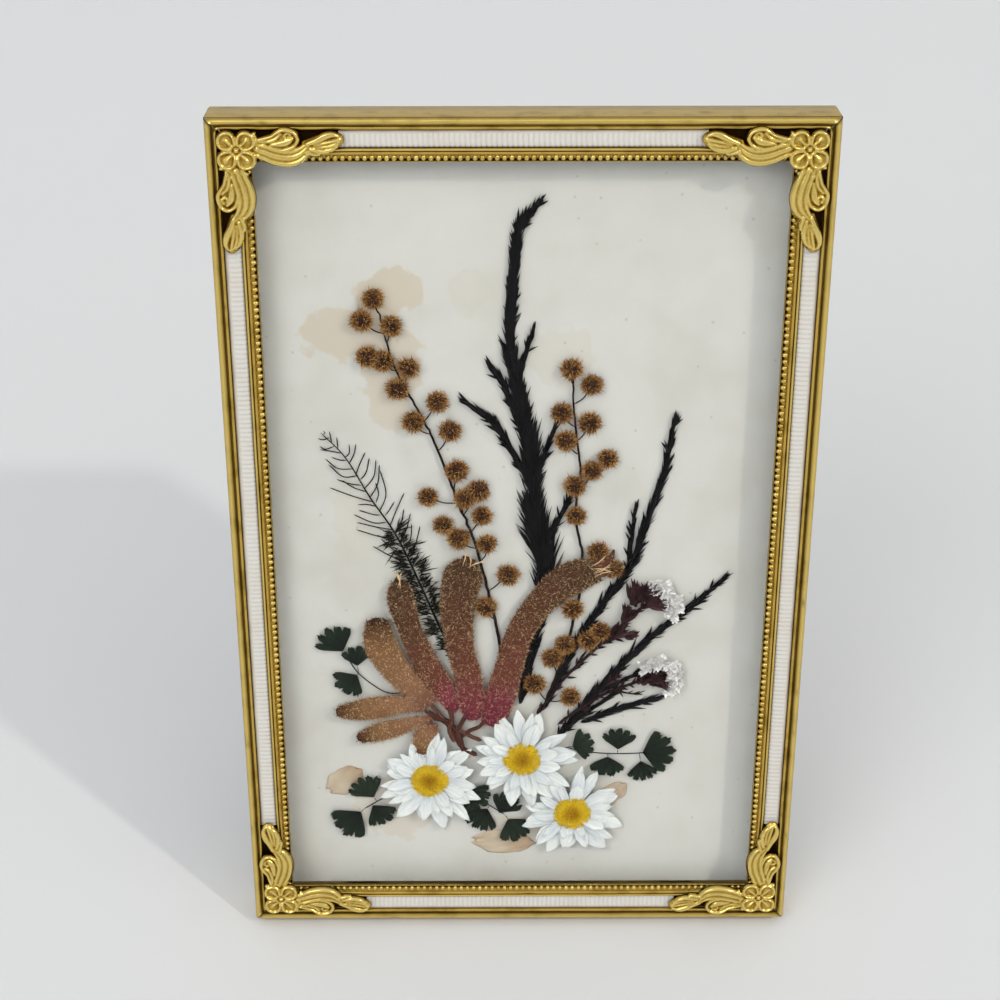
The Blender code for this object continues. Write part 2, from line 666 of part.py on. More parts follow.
def build_loose_petals(parent):
    for side, root, tip, width in LOOSE_PETALS:
        add_solid(f"loose_petal_{side}", prism(leaf(root, tip, width, 7), *LAYER_BACK), parent, LOOSE_PETAL)


# ---------------------------------------------------------------- hinge and strut


def drilled(name, solid, holes, front, back):
    """The solid with round holes through it; each hole is (u, v)."""
    drills = [prism(disc(u, v, RIVET_HOLE_RADIUS), front - 1, back + 1) for u, v in holes]
    return combine(name, solid, drills, "DIFFERENCE")


def knuckled(name, plate, spans, t, v, bridges):
    """A hinge plate joined to its knuckles, with the pin's bore through them."""
    rods = [rod(KNUCKLE_RADIUS, start, end, t, v) for start, end in spans]
    joined = combine(name, plate, rods + bridges, "UNION")
    bore = rod(BORE_RADIUS, -PLATE_HALF_WIDTH - 2, PLATE_HALF_WIDTH + 2, t, v)
    return combine(name, back_to_bmesh(joined), [bore], "DIFFERENCE")


def rivet(u, v, head_t):
    """A domed head over a shank that passes into the plate's hole."""
    head = prism(disc(u, v, RIVET_HEAD_RADIUS), head_t, head_t + RIVET_HEAD_THICK)
    shank_front = head_t - RIVET_SHANK_REACH
    shank = prism(disc(u, v, RIVET_SHANK_RADIUS), shank_front, head_t + RIVET_HEAD_THICK / 2)
    return head, shank


def build_hinge_plate(parent):
    low_corner = (-PLATE_HALF_WIDTH, PLATE_T[0], AXIS_V + PLATE_V[0])
    high_corner = (PLATE_HALF_WIDTH, PLATE_T[1], AXIS_V + PLATE_V[1])
    plate = block(low_corner, high_corner)
    inner, outer = OUTER_KNUCKLE_U
    spans = [(-outer, -inner), (inner, outer)]
    bridges = []
    for start, end in spans:
        low = (start + HAIR, PLATE_T[0] + HAIR, AXIS_V + BRIDGE_V[0])
        high = (end - HAIR, AXIS_T, AXIS_V + BRIDGE_V[1])
        bridges.append(block(low, high))
    mesh = knuckled("hinge_plate", plate, spans, AXIS_T, AXIS_V, bridges)
    holes = [(end * PLATE_RIVET_U, AXIS_V + PLATE_RIVET_V) for end in (-1, 1)]
    mesh = drilled("hinge_plate", back_to_bmesh(mesh), holes, *PLATE_T)
    place("hinge_plate", mesh, parent, STEEL)
    pin = rod(PIN_RADIUS, -PIN_HALF_LENGTH, PIN_HALF_LENGTH, AXIS_T, AXIS_V)
    add_solid("hinge_pin", pin, parent, STEEL)
    for side, (u, v) in zip(("left", "right"), holes):
        head, shank = rivet(u, v, PLATE_T[1] + FIT_GAP)
        name = f"plate_rivet_{side}"
        place(name, combine(name, head, [shank], "UNION"), parent, STEEL)


def build_strut(parent):
    """The strut and its hinge leaf, drawn about the hinge's axis, which their parent empty stands on."""
    neck, wide = INNER_KNUCKLE_HALF, LEAF_HALF_WIDTH
    neck_end, wide_start = LEAF_SHOULDER
    leaf_outline = [(-neck, STOP_HEEL), (neck, STOP_HEEL), (neck, neck_end), (wide, wide_start)]
    leaf_outline += [(wide, -LEAF_DROP), (-wide, -LEAF_DROP), (-wide, wide_start), (-neck, neck_end)]
    span = [(-neck + HAIR, neck - HAIR)]
    mesh = knuckled("strut_hinge_leaf", prism(leaf_outline, *LEAF_OUT), span, 0.0, 0.0, [])
    holes = [(end * LEAF_RIVET_U, LEAF_RIVET_V) for end in (-1, 1)]
    mesh = drilled("strut_hinge_leaf", back_to_bmesh(mesh), holes, *LEAF_OUT)
    place("strut_hinge_leaf", mesh, parent, STEEL)
    for side, (u, v) in zip(("left", "right"), holes):
        head, shank = rivet(u, v, LEAF_OUT[1] + FIT_GAP)
        name = f"strut_rivet_{side}"
        place(name, combine(name, head, [shank], "UNION"), parent, STEEL)

    outline = [(-STRUT_TOP_HALF, STRUT_TOP), (STRUT_TOP_HALF, STRUT_TOP)]
    outline += [(STRUT_FOOT_HALF, strut_foot(0.0)), (-STRUT_FOOT_HALF, strut_foot(0.0))]
    strut = prism(outline, *STRUT_OUT)
    for vert in strut.verts:
        if vert.co.z < strut_foot(0.0) / 2:
            vert.co.z = strut_foot(vert.co.y)
    add_solid("strut", strut, parent, BOARD)


# ---------------------------------------------------------------- assembly


def clear_scene():
    for old in list(bpy.data.objects):
        bpy.data.objects.remove(old)


def empty(name, parent=None):
    made = bpy.data.objects.new(name, None)
    bpy.context.scene.collection.objects.link(made)
    made.parent = parent
    return made


def depth_middle():
    """How far back the middle of the whole stands: between the lower volutes' fronts and the strut's foot."""
    volute_v = VOLUTE_CENTRE[1] - VOLUTE_RADIUS
    nearest = volute_v * math.sin(LEAN) + (ORNAMENT_T[0] - VOLUTE_RISE) * math.cos(LEAN)
    out = STRUT_OUT[1]
    farthest = AXIS_Y - strut_foot(out) * math.sin(STRUT_BACK) + out * math.cos(STRUT_BACK)
    return (nearest + farthest) / 2


def main():
    clear_scene()
    leaning = empty("leaning_frame")
    leaning.location = (0, -depth_middle() * MM, FRAME_DEPTH * math.sin(LEAN) * MM)
    leaning.rotation_euler = (-LEAN, 0, 0)
    hinge = empty("strut_hinge_axis", leaning)
    hinge.location = (0, AXIS_T * MM, AXIS_V * MM)
    hinge.rotation_euler = (math.radians(OPEN_DEG), 0, 0)

    build_rails(leaning)
    build_ornaments(leaning)
    build_sheets(leaning)
    build_daisies(leaning)
    build_paws(leaning)
    build_wattle(leaning)
    build_sprigs(leaning)
    build_rice_flowers(leaning)
    build_ferns(leaning)
    build_loose_petals(leaning)
    build_hinge_plate(leaning)
    build_strut(hinge)


main()
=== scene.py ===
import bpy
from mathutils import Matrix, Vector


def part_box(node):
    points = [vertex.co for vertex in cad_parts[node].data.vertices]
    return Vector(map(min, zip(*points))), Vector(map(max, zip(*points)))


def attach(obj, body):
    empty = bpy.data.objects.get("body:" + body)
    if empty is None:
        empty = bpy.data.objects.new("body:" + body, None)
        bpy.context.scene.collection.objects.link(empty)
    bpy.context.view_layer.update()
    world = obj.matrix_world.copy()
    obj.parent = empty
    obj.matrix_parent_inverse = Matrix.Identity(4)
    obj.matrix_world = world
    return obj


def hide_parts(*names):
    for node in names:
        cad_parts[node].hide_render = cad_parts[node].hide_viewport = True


bl_info = {
    "name": "Pressed Flower Frame",
    "version": (1, 0, 0),
    "blender": (4, 5, 0),
    "location": "View3D > Sidebar > Flower Frame",
    "description": "Builds a gilt easel frame with a pressed wildflower bouquet behind glass",
    "category": "Object",
}

import math

import bpy
import numpy as np
from bpy.props import FloatProperty, FloatVectorProperty, IntProperty, PointerProperty, StringProperty
from mathutils import Matrix, Vector

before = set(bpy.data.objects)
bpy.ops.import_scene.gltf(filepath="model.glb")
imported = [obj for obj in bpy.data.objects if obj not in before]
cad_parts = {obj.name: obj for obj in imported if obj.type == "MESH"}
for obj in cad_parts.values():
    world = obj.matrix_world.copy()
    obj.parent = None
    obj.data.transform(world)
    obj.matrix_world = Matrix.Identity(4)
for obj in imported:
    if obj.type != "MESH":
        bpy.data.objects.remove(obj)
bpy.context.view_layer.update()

# Frame coordinates are millimetres: u across from the centre line, v up from the bottom edge and
# t back from the crest of the outer bead. The frame leans back on its bottom edge and its strut.
MM = 0.001
LEAN = math.radians(14.0)
PANE_W = 7.1
PANE_FRONT_T = 2.5
PANE_BACK_T = 4.3
ACROSS = np.array((0.0, 0.0, 1.0))

pane_low, pane_high = (np.array(corner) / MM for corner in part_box("glass_pane"))
ORIGIN_Y = pane_low[1] - PANE_W * math.sin(LEAN) - PANE_FRONT_T * math.cos(LEAN)
ORIGIN_Z = pane_low[2] - PANE_W * math.cos(LEAN) + PANE_BACK_T * math.sin(LEAN)
HALF_WIDTH = pane_high[0] + PANE_W
HEIGHT = (pane_high[2] - ORIGIN_Z + PANE_FRONT_T * math.sin(LEAN)) / math.cos(LEAN) + PANE_W


# ---------------------------------------------------------------- shared shape tools


def to_world(points):
    """Frame coordinates in millimetres as world coordinates in metres."""
    u, v, t = np.asarray(points, float).T
    y = v * math.sin(LEAN) + t * math.cos(LEAN) + ORIGIN_Y
    z = v * math.cos(LEAN) - t * math.sin(LEAN) + ORIGIN_Z
    return np.column_stack((u, y, z)) * MM


class Build:
    """Points and faces of one piece, with the marks that its material reads at each point.

    ageing runs from 0 to 1 along a growth, and on the metal and the ribbon it is painted shade in
    grooves, hollows, valleys and on the beads' shaded flanks; fleck is one random value for each small
    element, and on the rails it is a painted highlight along the bead crests; lie is a place in
    millimetres along and across the element.
    """

    def __init__(self):
        self.points, self.faces, self.ageing, self.fleck, self.lie = [], [], [], [], []
        self.count = 0

    def add(self, points, face_sets, ageing=0.0, fleck=0.5, lie=None):
        points = np.asarray(points, float).reshape(-1, 3)
        size = len(points)
        self.points.append(points)
        self.ageing.append(np.broadcast_to(np.asarray(ageing, float).ravel(), (size,)))
        self.fleck.append(np.broadcast_to(np.asarray(fleck, float).ravel(), (size,)))
        self.lie.append(points if lie is None else np.asarray(lie, float).reshape(-1, 3))
        for faces in face_sets:
            self.faces.extend((np.asarray(faces) + self.count).tolist())
        self.count += size


def make_piece(name, build, material, slot, *nodes):
    """Makes the mesh, which rides on the frame, and hides the CAD nodes that it replaces. The slot is not
    used.
    """
    mesh = bpy.data.meshes.new(name)
    mesh.from_pydata(to_world(np.vstack(build.points)).tolist(), [], build.faces)
    for mark, kind, field in (
        ("ageing", "FLOAT", "value"),
        ("fleck", "FLOAT", "value"),
        ("lie", "FLOAT_VECTOR", "vector"),
    ):
        values = np.concatenate(getattr(build, mark)).astype(np.float32)
        mesh.attributes.new(mark, kind, "POINT").data.foreach_set(field, values.ravel())
    mesh.update()
    mesh.validate()
    mesh.shade_smooth()
    mesh.materials.append(material)
    piece = bpy.data.objects.new(name, mesh)
    bpy.context.scene.collection.objects.link(piece)
    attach(piece, "frame")
    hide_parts(*nodes)


def grid_faces(rows, columns, wrap=False):
    """Quads over a grid of points stored row by row; wrap joins the last column to the first."""
    index = np.arange(rows * columns).reshape(rows, columns)
    right = np.roll(index, -1, axis=1)
    quads = stacked(index[:-1], right[:-1], right[1:], index[1:])
    return (quads if wrap else quads[:, :-1]).reshape(-1, 4)


def smooth_line(knots, step):
    """A smooth curve through rows of u, v and any other values, and its length so far, every step mm."""
    knots = np.asarray(knots, float)
    ends = np.vstack((2 * knots[0] - knots[1], knots, 2 * knots[-1] - knots[-2]))
    share = np.linspace(0.0, 1.0, 17)[:-1, None]
    spans = []
    for before, start, end, after in zip(ends, ends[1:], ends[2:], ends[3:]):
        bend = 2 * before - 5 * start + 4 * end - after
        twist = 3 * start - before - 3 * end + after
        spans.append(0.5 * (2 * start + (end - before) * share + bend * share**2 + twist * share**3))
    dense = np.vstack(spans + [knots[-1:]])
    run = np.concatenate(([0.0], np.cumsum(np.linalg.norm(np.diff(dense[:, :2], axis=0), axis=1))))
    at = np.linspace(0.0, run[-1], max(3, int(run[-1] / step) + 1))
    return np.column_stack([np.interp(at, run, column) for column in dense.T]), at


def stacked(*columns):
    """Columns that broadcast together as one array of rows."""
    return np.stack(np.broadcast_arrays(*columns), axis=-1)


def full_turn(count):
    return np.linspace(0.0, 2.0 * math.pi, count, endpoint=False)


def clamp(values):
    return np.clip(values, 0.0, 1.0)


def end_caps(rows, columns):
    """The two faces that close a tube of rings."""
    return [np.arange(columns)[::-1][None], (np.arange(columns) + (rows - 1) * columns)[None]]


def unit(vectors):
    return vectors / np.maximum(np.linalg.norm(vectors, axis=-1, keepdims=True), 1e-9)


def headings(line):
    """The direction of a line of points at each of them."""
    return unit(np.gradient(line, axis=0))


def add_stem(build, line, radius, ageing, fleck, sides=6):
    """A round rod along rows of u, v, t, narrowing to a rounded end; radius may vary."""
    line = np.asarray(line, float)
    radius = np.broadcast_to(np.asarray(radius, float), (len(line),)).copy()
    radius[[0, -1]] *= 0.3
    forward = headings(line)
    side = unit(np.cross(forward, ACROSS))
    lift = np.cross(side, forward)
    turn = full_turn(sides)
    ring = side[:, None] * np.cos(turn)[:, None] + lift[:, None] * np.sin(turn)[:, None]
    points = line[:, None] + ring * radius[:, None, None]
    run = np.concatenate(([0.0], np.cumsum(np.linalg.norm(np.diff(line, axis=0), axis=1))))
    lie = stacked(run[:, None], radius[:, None] * turn, 0.0)
    ageing = np.repeat(np.broadcast_to(np.asarray(ageing, float), (len(line),)), sides)
    faces = [grid_faces(len(line), sides, True), *end_caps(len(line), sides)]
    build.add(points, faces, ageing, fleck, lie)


def add_hairs(build, roots, aims, lengths, width, bend, rng, ageing):
    """Fine tapering hairs with a kink: a quad and a tip triangle each."""
    count = len(roots)
    lengths = np.broadcast_to(lengths, (count,))[:, None]
    aims = unit(aims)
    face = rng.uniform(-1.0, 1.0, (count, 1))
    side = unit(np.cross(aims, ACROSS) + 1e-6)
    side = unit(side * np.cos(face) + np.cross(aims, side) * np.sin(face)) * width / 2
    stray = rng.normal(0.0, bend, (count, 3)) * lengths
    middle = roots + aims * lengths * 0.55 + stray * 0.3
    tip = roots + aims * lengths + stray
    points = np.stack((roots - side, roots + side, middle - side * 0.8, middle + side * 0.8, tip), axis=1)
    first = np.arange(count)[:, None] * 5
    fleck = rng.uniform(0.0, 1.0, count)
    lie = np.zeros((count, 5, 3))
    lie[:, 2:4, 0] = 0.55
    lie[:, 4, 0] = 1.0
    build.add(
        points,
        [first + np.array((0, 1, 3, 2)), first + np.array((2, 3, 4))],
        np.repeat(np.broadcast_to(ageing, (count,)), 5),
        np.repeat(fleck, 5),
        lie,
    )


BLADE_ALONG = np.array((0.0, 0.3, 0.65, 1.0))
BLADE_WIDTH = np.array((0.35, 1.0, 0.75, 0.04))
BLADE_LIE = np.array([[(along, across, 0.0) for across in (-1, 0, 1)] for along in BLADE_ALONG])


def add_blades(build, roots, aims, lengths, widths, keel, curl, rng, ageing):
    """Small leaves with a raised midrib, widest below the middle and pointed; curl lifts their tips."""
    count = len(roots)
    lengths = np.broadcast_to(lengths, (count,))[:, None, None]
    widths = np.broadcast_to(widths, (count,))[:, None, None]
    aims = unit(aims)
    side = unit(np.cross(aims, ACROSS) + 1e-6)
    tilt = rng.normal(0.0, 0.5, (count, 1))
    side = unit(side * np.cos(tilt) + np.cross(aims, side) * np.sin(tilt))
    lift = np.cross(side, aims)
    along = BLADE_ALONG[None, :, None]
    centre = roots[:, None] + aims[:, None] * along * lengths
    centre = centre - ACROSS * curl * lengths * along**2
    centre = centre + side[:, None] * rng.normal(0.0, 0.08, (count, 1, 1)) * lengths * along**2
    half = side[:, None] * widths * BLADE_WIDTH[None, :, None] / 2
    ridge = lift[:, None] * widths * keel * BLADE_WIDTH[None, :, None]
    points = np.stack((centre - half, centre + ridge, centre + half), axis=2)
    first = np.arange(count)[:, None, None] * 12
    quads = (first + grid_faces(4, 3)).reshape(-1, 4)
    lie = np.broadcast_to(BLADE_LIE, (count, 4, 3, 3))
    build.add(
        points,
        [quads],
        np.repeat(np.broadcast_to(ageing, (count,)), 12),
        np.repeat(rng.uniform(0.0, 1.0, count), 12),
        lie,
    )


def at_depth(line, t):
    """Rows of u, v with a depth for each."""
    return np.column_stack((line[:, :2], np.broadcast_to(t, (len(line),))))


def nearest(line, spot):
    """The index of the point of a line that is nearest to a spot, in u and v."""
    return int(np.argmin(np.hypot(*(line[:, :2] - np.asarray(spot)).T)))


# ---------------------------------------------------------------- shared material tools


def linear(colour):
    """An sRGB hex colour as linear RGBA."""
    parts = (int(colour[i : i + 2], 16) / 255.0 for i in (1, 3, 5))
    return tuple(p / 12.92 if p <= 0.04045 else ((p + 0.055) / 1.055) ** 2.4 for p in parts) + (1.0,)


def add(tree, kind, sockets=None, stops=None, **settings):
    """Adds a node with its settings. A socket is given a value, or the output that feeds it."""
    node = tree.nodes.new(kind)
    for key, value in settings.items():
        setattr(node, key, value)
    for index, (place, colour) in enumerate(stops or ()):
        elements = node.color_ramp.elements
        element = elements[index] if index < 2 else elements.new(place)
        element.position, element.color = place, linear(colour)
    for key, value in (sockets or {}).items():
        if isinstance(value, bpy.types.NodeSocket):
            tree.links.new(value, node.inputs[key])
        else:
            node.inputs[key].default_value = value
    return node


def new_material(name, **constants):
    """A material, its tree and its shader, whose sockets take the constants."""
    material = bpy.data.materials.new(name)
    material.use_nodes = True
    shader = material.node_tree.nodes["Principled BSDF"]
    for key, value in constants.items():
        shader.inputs[key.replace("_", " ").title().replace("Ior", "IOR")].default_value = value
    return material, material.node_tree, shader


def attribute(tree, name):
    """What the mesh says at each point: ageing or fleck as a number, lie as a place."""
    return add(tree, "ShaderNodeAttribute", attribute_name=name).outputs["Vector" if name == "lie" else "Fac"]


def object_place(tree):
    return add(tree, "ShaderNodeTexCoord").outputs["Object"]


def stretched(tree, place, factors):
    """A place with each axis scaled by its own factor."""
    return add(tree, "ShaderNodeVectorMath", {0: place, 1: factors}, operation="MULTIPLY").outputs[0]


def noise(tree, place, scale, detail):
    return add(tree, "ShaderNodeTexNoise", {"Vector": place, "Scale": scale, "Detail": detail}).outputs["Fac"]


def calculate(tree, operation, *values):
    return add(tree, "ShaderNodeMath", dict(enumerate(values)), operation=operation).outputs[0]


def remap(tree, value, *spans):
    """A value taken from one span, low and high, to another and held within it."""
    return add(tree, "ShaderNodeMapRange", dict(enumerate((value, *spans)))).outputs[0]


def ramp(tree, share, *stops):
    return add(tree, "ShaderNodeValToRGB", {0: share}, stops=stops).outputs[0]


def mix(tree, share, first, second):
    """Two colours mixed; the second is a hex colour or linear RGBA."""
    second = linear(second) if isinstance(second, str) else second
    return add(tree, "ShaderNodeMix", {0: share, 6: first, 7: second}, data_type="RGBA").outputs[2]


def bumped(tree, height, strength, distance):
    """A normal bumped by height; distance is in mm."""
    sockets = {"Strength": strength, "Distance": distance * MM, "Height": height}
    return add(tree, "ShaderNodeBump", sockets).outputs[0]


def finish(tree, shader, colour, roughness, height, strength, distance):
    """Links what changes over the surface to the shader: colour, roughness if it varies, and a bump."""
    tree.links.new(colour, shader.inputs["Base Color"])
    if roughness is not None:
        tree.links.new(roughness, shader.inputs["Roughness"])
    tree.links.new(bumped(tree, height, strength, distance), shader.inputs["Normal"])


# ---------------------------------------------------------------- finishes


def brass_plated_moulding(colours):
    """Roll-formed steel strip, brass plated and lacquered: satin gold with fine lines along its length
    from the rolls, a painted highlight along the bead crests, painted shade in the grooves, the
    channel, under the beads and down the beads' inner flanks, where old polish also lies, and a few
    small knocks."""
    material, tree, shader = new_material("brass_plated_roll_formed_steel", metallic=1.0)
    lie = attribute(tree, "lie")
    # drawing lines about 0.25 mm apart and some 12 mm long
    lines = noise(tree, stretched(tree, lie, (0.08, 4.0, 4.0)), 1.0, 3.0)
    # tarnish in patches of about 6 mm, and specks of about 0.4 mm
    cloud = noise(tree, lie, 0.16, 5.0)
    specks = remap(tree, noise(tree, lie, 2.4, 2.0), 0.66, 0.76, 0.0, 0.55)
    tone = ramp(tree, cloud, (0.3, colours.old_gold), (0.5, colours.gold), (0.72, colours.gold))
    # painted shade: this mark carries dark brown into the grooves, the channel, the beads' seat, the beads'
    # lower flanks and the dents; the specks are real
    shade_and_dirt = calculate(tree, "MAXIMUM", attribute(tree, "ageing"), specks)
    # painted highlight: on the rails fleck marks the bead crests, which turn bright gold; on the beads and
    # tabs it is a random share
    bright = mix(tree, attribute(tree, "fleck"), tone, colours.bright_gold)
    worn = remap(tree, lines, 0.3, 0.7, 0.24, 0.4)
    roughness = calculate(tree, "MULTIPLY_ADD", shade_and_dirt, 0.35, worn)
    finish(tree, shader, mix(tree, shade_and_dirt, bright, colours.recess), roughness, lines, 0.25, 0.03)
    return material


def stamped_brass(colours):
    """Thin brass stamped in a die, dipped and lacquered: a painted highlight on the ridges, and painted
    shade, brown, in the hollows, with the soft pebbling of a worn die."""
    material, tree, shader = new_material("die_stamped_brass", metallic=1.0)
    lie = attribute(tree, "lie")
    # pebbling about 0.4 mm across, and colour patches of about 3 mm
    pebble = noise(tree, lie, 2.2, 4.0)
    # painted shade and highlight: the hollows run to old gold and dark brown, the ridges to bright gold
    hollow_shade = calculate(tree, "MULTIPLY_ADD", pebble, 0.3, attribute(tree, "ageing"))
    drift = calculate(tree, "MULTIPLY_ADD", noise(tree, lie, 0.33, 3.0), 0.25, hollow_shade)
    ridge_highlights = (0.32, colours.bright_gold), (0.52, colours.gold)
    hollow_shades = (0.74, colours.old_gold), (1.0, colours.recess)
    roughness = remap(tree, hollow_shade, 0.1, 1.2, 0.2, 0.55)
    finish(tree, shader, ramp(tree, drift, *ridge_highlights, *hollow_shades), roughness, pebble, 0.35, 0.05)
    return material


def corded_ribbon(colours):
    """Woven rayon ribbon with cords across it: soft white, a little sheen along each cord, yellowed
    in patches, and painted shade, grey, in the valleys between the cords and along its edges."""
    material, tree, shader = new_material("woven_rayon_ribbon", roughness=0.62, sheen_weight=0.25)
    lie = attribute(tree, "lie")
    # warp threads 0.3 mm apart, which show as fine lines over the cords
    threads = add(
        tree,
        "ShaderNodeTexWave",
        {"Vector": lie, "Scale": 1.0, "Distortion": 1.2, "Detail": 2.0, "Detail Scale": 1.5},
        wave_type="BANDS",
        bands_direction="Y",
    ).outputs["Fac"]
    shade = calculate(tree, "MULTIPLY_ADD", noise(tree, lie, 0.12, 4.0), 0.5, attribute(tree, "ageing"))
    stops = (0.15, colours.ribbon), (0.75, colours.ribbon_shade), (1.0, colours.ribbon_valley_shade)
    finish(tree, shader, ramp(tree, shade, *stops), None, threads, 0.35, 0.06)
    return material


def coated_picture_glass():
    """Thin coated picture glass, cut and washed: see-through, and so low in reflection that the darkest
    plants behind it stay dark. Light from lamps passes straight through it to the card behind."""
    material, tree, shader = new_material(
        "coated_picture_glass", transmission_weight=1.0, ior=1.12, roughness=0.0, base_color=(1, 1, 1, 1)
    )
    # roller waves about 30 mm long, so shallow that only a reflection shows them
    waves = noise(tree, object_place(tree), 33.0, 0.0)
    tree.links.new(bumped(tree, waves, 0.05, 0.02), shader.inputs["Normal"])
    clear = add(tree, "ShaderNodeBsdfTransparent", {"Color": (0.96, 0.97, 0.965, 1.0)})
    shadow = add(tree, "ShaderNodeLightPath").outputs["Is Shadow Ray"]
    through = add(tree, "ShaderNodeMixShader", {0: shadow, 1: shader.outputs[0], 2: clear.outputs[0]})
    tree.links.new(through.outputs[0], tree.nodes["Material Output"].inputs["Surface"])
    return material


# Old glue and handling marks on the card: u, v, radius across, radius up, all in mm, and strength
CARD_STAINS = (
    (-42.0, 164.0, 11.0, 8.0, 0.42),
    (-31.0, 155.0, 8.0, 17.0, 0.34),
    (-31.0, 174.0, 9.0, 7.0, 0.4),
    (-12.0, 174.0, 6.0, 6.0, 0.1),
    (-33.0, 31.0, 13.0, 11.0, 0.2),
    (3.0, 24.0, 16.0, 5.0, 0.3),
    (10.0, 158.0, 9.0, 9.0, 0.12),
    (-40.0, 116.0, 7.0, 16.0, 0.12),
)


def card_stain(tree, flat, ragged, u, v, across, up, strength):
    """One stain with a torn edge, on a card whose places have been turned upright."""
    middle = Matrix.Rotation(LEAN, 3, "X") @ Vector(to_world([(u, v, 5.0)])[0])
    away = add(tree, "ShaderNodeVectorMath", {0: flat, 1: tuple(middle)}, operation="SUBTRACT").outputs[0]
    away = stretched(tree, away, (1.0 / (across * MM), 0.0, 1.0 / (up * MM)))
    distance = add(tree, "ShaderNodeVectorMath", {0: away}, operation="LENGTH").outputs["Value"]
    torn = calculate(tree, "MULTIPLY_ADD", ragged, 1.5, distance)
    return remap(tree, torn, 1.66, 1.56, 0.0, strength)


def mount_card_paper(colours):
    """Smooth cream rag card that has aged behind glass: matt and warm white, mottled, with specks and
    yellow glue stains that have dried with a hard edge."""
    material, tree, shader = new_material("rag_mount_card", roughness=0.85)
    flat = add(
        tree,
        "ShaderNodeVectorRotate",
        {"Vector": object_place(tree), "Axis": (1.0, 0.0, 0.0), "Angle": LEAN},
        rotation_type="AXIS_ANGLE",
    ).outputs[0]
    # mottling of about 20 mm, fibres of about 0.7 mm and sparse specks of about 0.5 mm
    mottle = noise(tree, flat, 50.0, 5.0)
    fibre = noise(tree, flat, 1400.0, 3.0)
    cells = add(tree, "ShaderNodeTexVoronoi", {"Vector": flat, "Scale": 190.0, "Randomness": 1.0})
    ragged = noise(tree, flat, 160.0, 6.0)
    stains = [card_stain(tree, flat, ragged, *row) for row in CARD_STAINS]
    total = stains[0]
    for stain in stains[1:]:
        total = calculate(tree, "MAXIMUM", total, stain)
    paper = ramp(tree, mottle, (0.3, colours.card_dull), (0.5, colours.card), (0.7, colours.card_light))
    patchy = calculate(tree, "MULTIPLY", calculate(tree, "MULTIPLY", total, mottle), 1.7)
    stained = mix(tree, patchy, paper, colours.stain)
    specks = remap(tree, cells.outputs["Distance"], 0.09, 0.05, 0.0, 0.35)
    finish(tree, shader, mix(tree, specks, stained, colours.speck), None, fibre, 0.2, 0.05)
    return material


def fibre_board(colours):
    """Dark paper-faced fibre board, calendered and guillotined: matt brown-black with a fine fibre
    grain and paler scuffs."""
    material, tree, shader = new_material("calendered_fibre_board", roughness=0.8)
    place = object_place(tree)
    # fibres about 0.4 mm wide and 4 mm long, and scuffs of about 15 mm
    grain = noise(tree, stretched(tree, place, (2500.0, 250.0, 250.0)), 1.0, 3.0)
    shade = calculate(tree, "MULTIPLY", noise(tree, place, 65.0, 8.0), 0.7)
    both = calculate(tree, "MULTIPLY_ADD", grain, 0.3, shade)
    colour = ramp(tree, both, (0.35, colours.board_dark), (0.55, colours.board), (0.75, colours.board_scuff))
    finish(tree, shader, colour, remap(tree, both, 0.3, 0.7, 0.6, 0.9), grain, 0.4, 0.08)
    return material


def brassed_steel(colours):
    """Pressed sheet steel, barrel-brassed: dull yellow with fine scratches every way and darker
    tarnish in clouds."""
    material, tree, shader = new_material("barrel_brassed_steel", metallic=1.0)
    place = object_place(tree)
    # scratches about 0.3 mm wide, and tarnish clouds of about 5 mm
    scratch = noise(tree, stretched(tree, place, (3000.0, 600.0, 600.0)), 1.0, 2.0)
    cloud = noise(tree, place, 200.0, 5.0)
    colour = ramp(tree, cloud, (0.35, colours.recess), (0.5, colours.old_gold), (0.7, colours.gold))
    finish(tree, shader, colour, remap(tree, scratch, 0.3, 0.7, 0.3, 0.5), scratch, 0.25, 0.02)
    return material


def dried_plant(name, ages, fleck_colour, fleck_share, grain_mm, roughness=0.75, bump=0.4, **constants):
    """A pressed and dried plant part. Its colour runs through ages from root to tip, each small
    element differs by its own fleck, and a grain of the given size in mm breaks it up."""
    constants = {"roughness": roughness, "specular_ior_level": 0.12, **constants}
    material, tree, shader = new_material(name, **constants)
    place = object_place(tree)
    grain = noise(tree, place, 1.0 / (grain_mm * MM), 4.0)
    # patches of about 4 mm shift the colour either way
    drift = calculate(tree, "MULTIPLY_ADD", noise(tree, place, 260.0, 3.0), 0.3, attribute(tree, "ageing"))
    tone = ramp(tree, calculate(tree, "SUBTRACT", drift, 0.15), *ages)
    bright = remap(tree, attribute(tree, "fleck"), 0.45, 1.0, 0.0, fleck_share * 1.6)
    share = calculate(tree, "MULTIPLY", grain, bright)
    finish(tree, shader, mix(tree, share, tone, fleck_colour), None, grain, bump, 0.1)
    return material


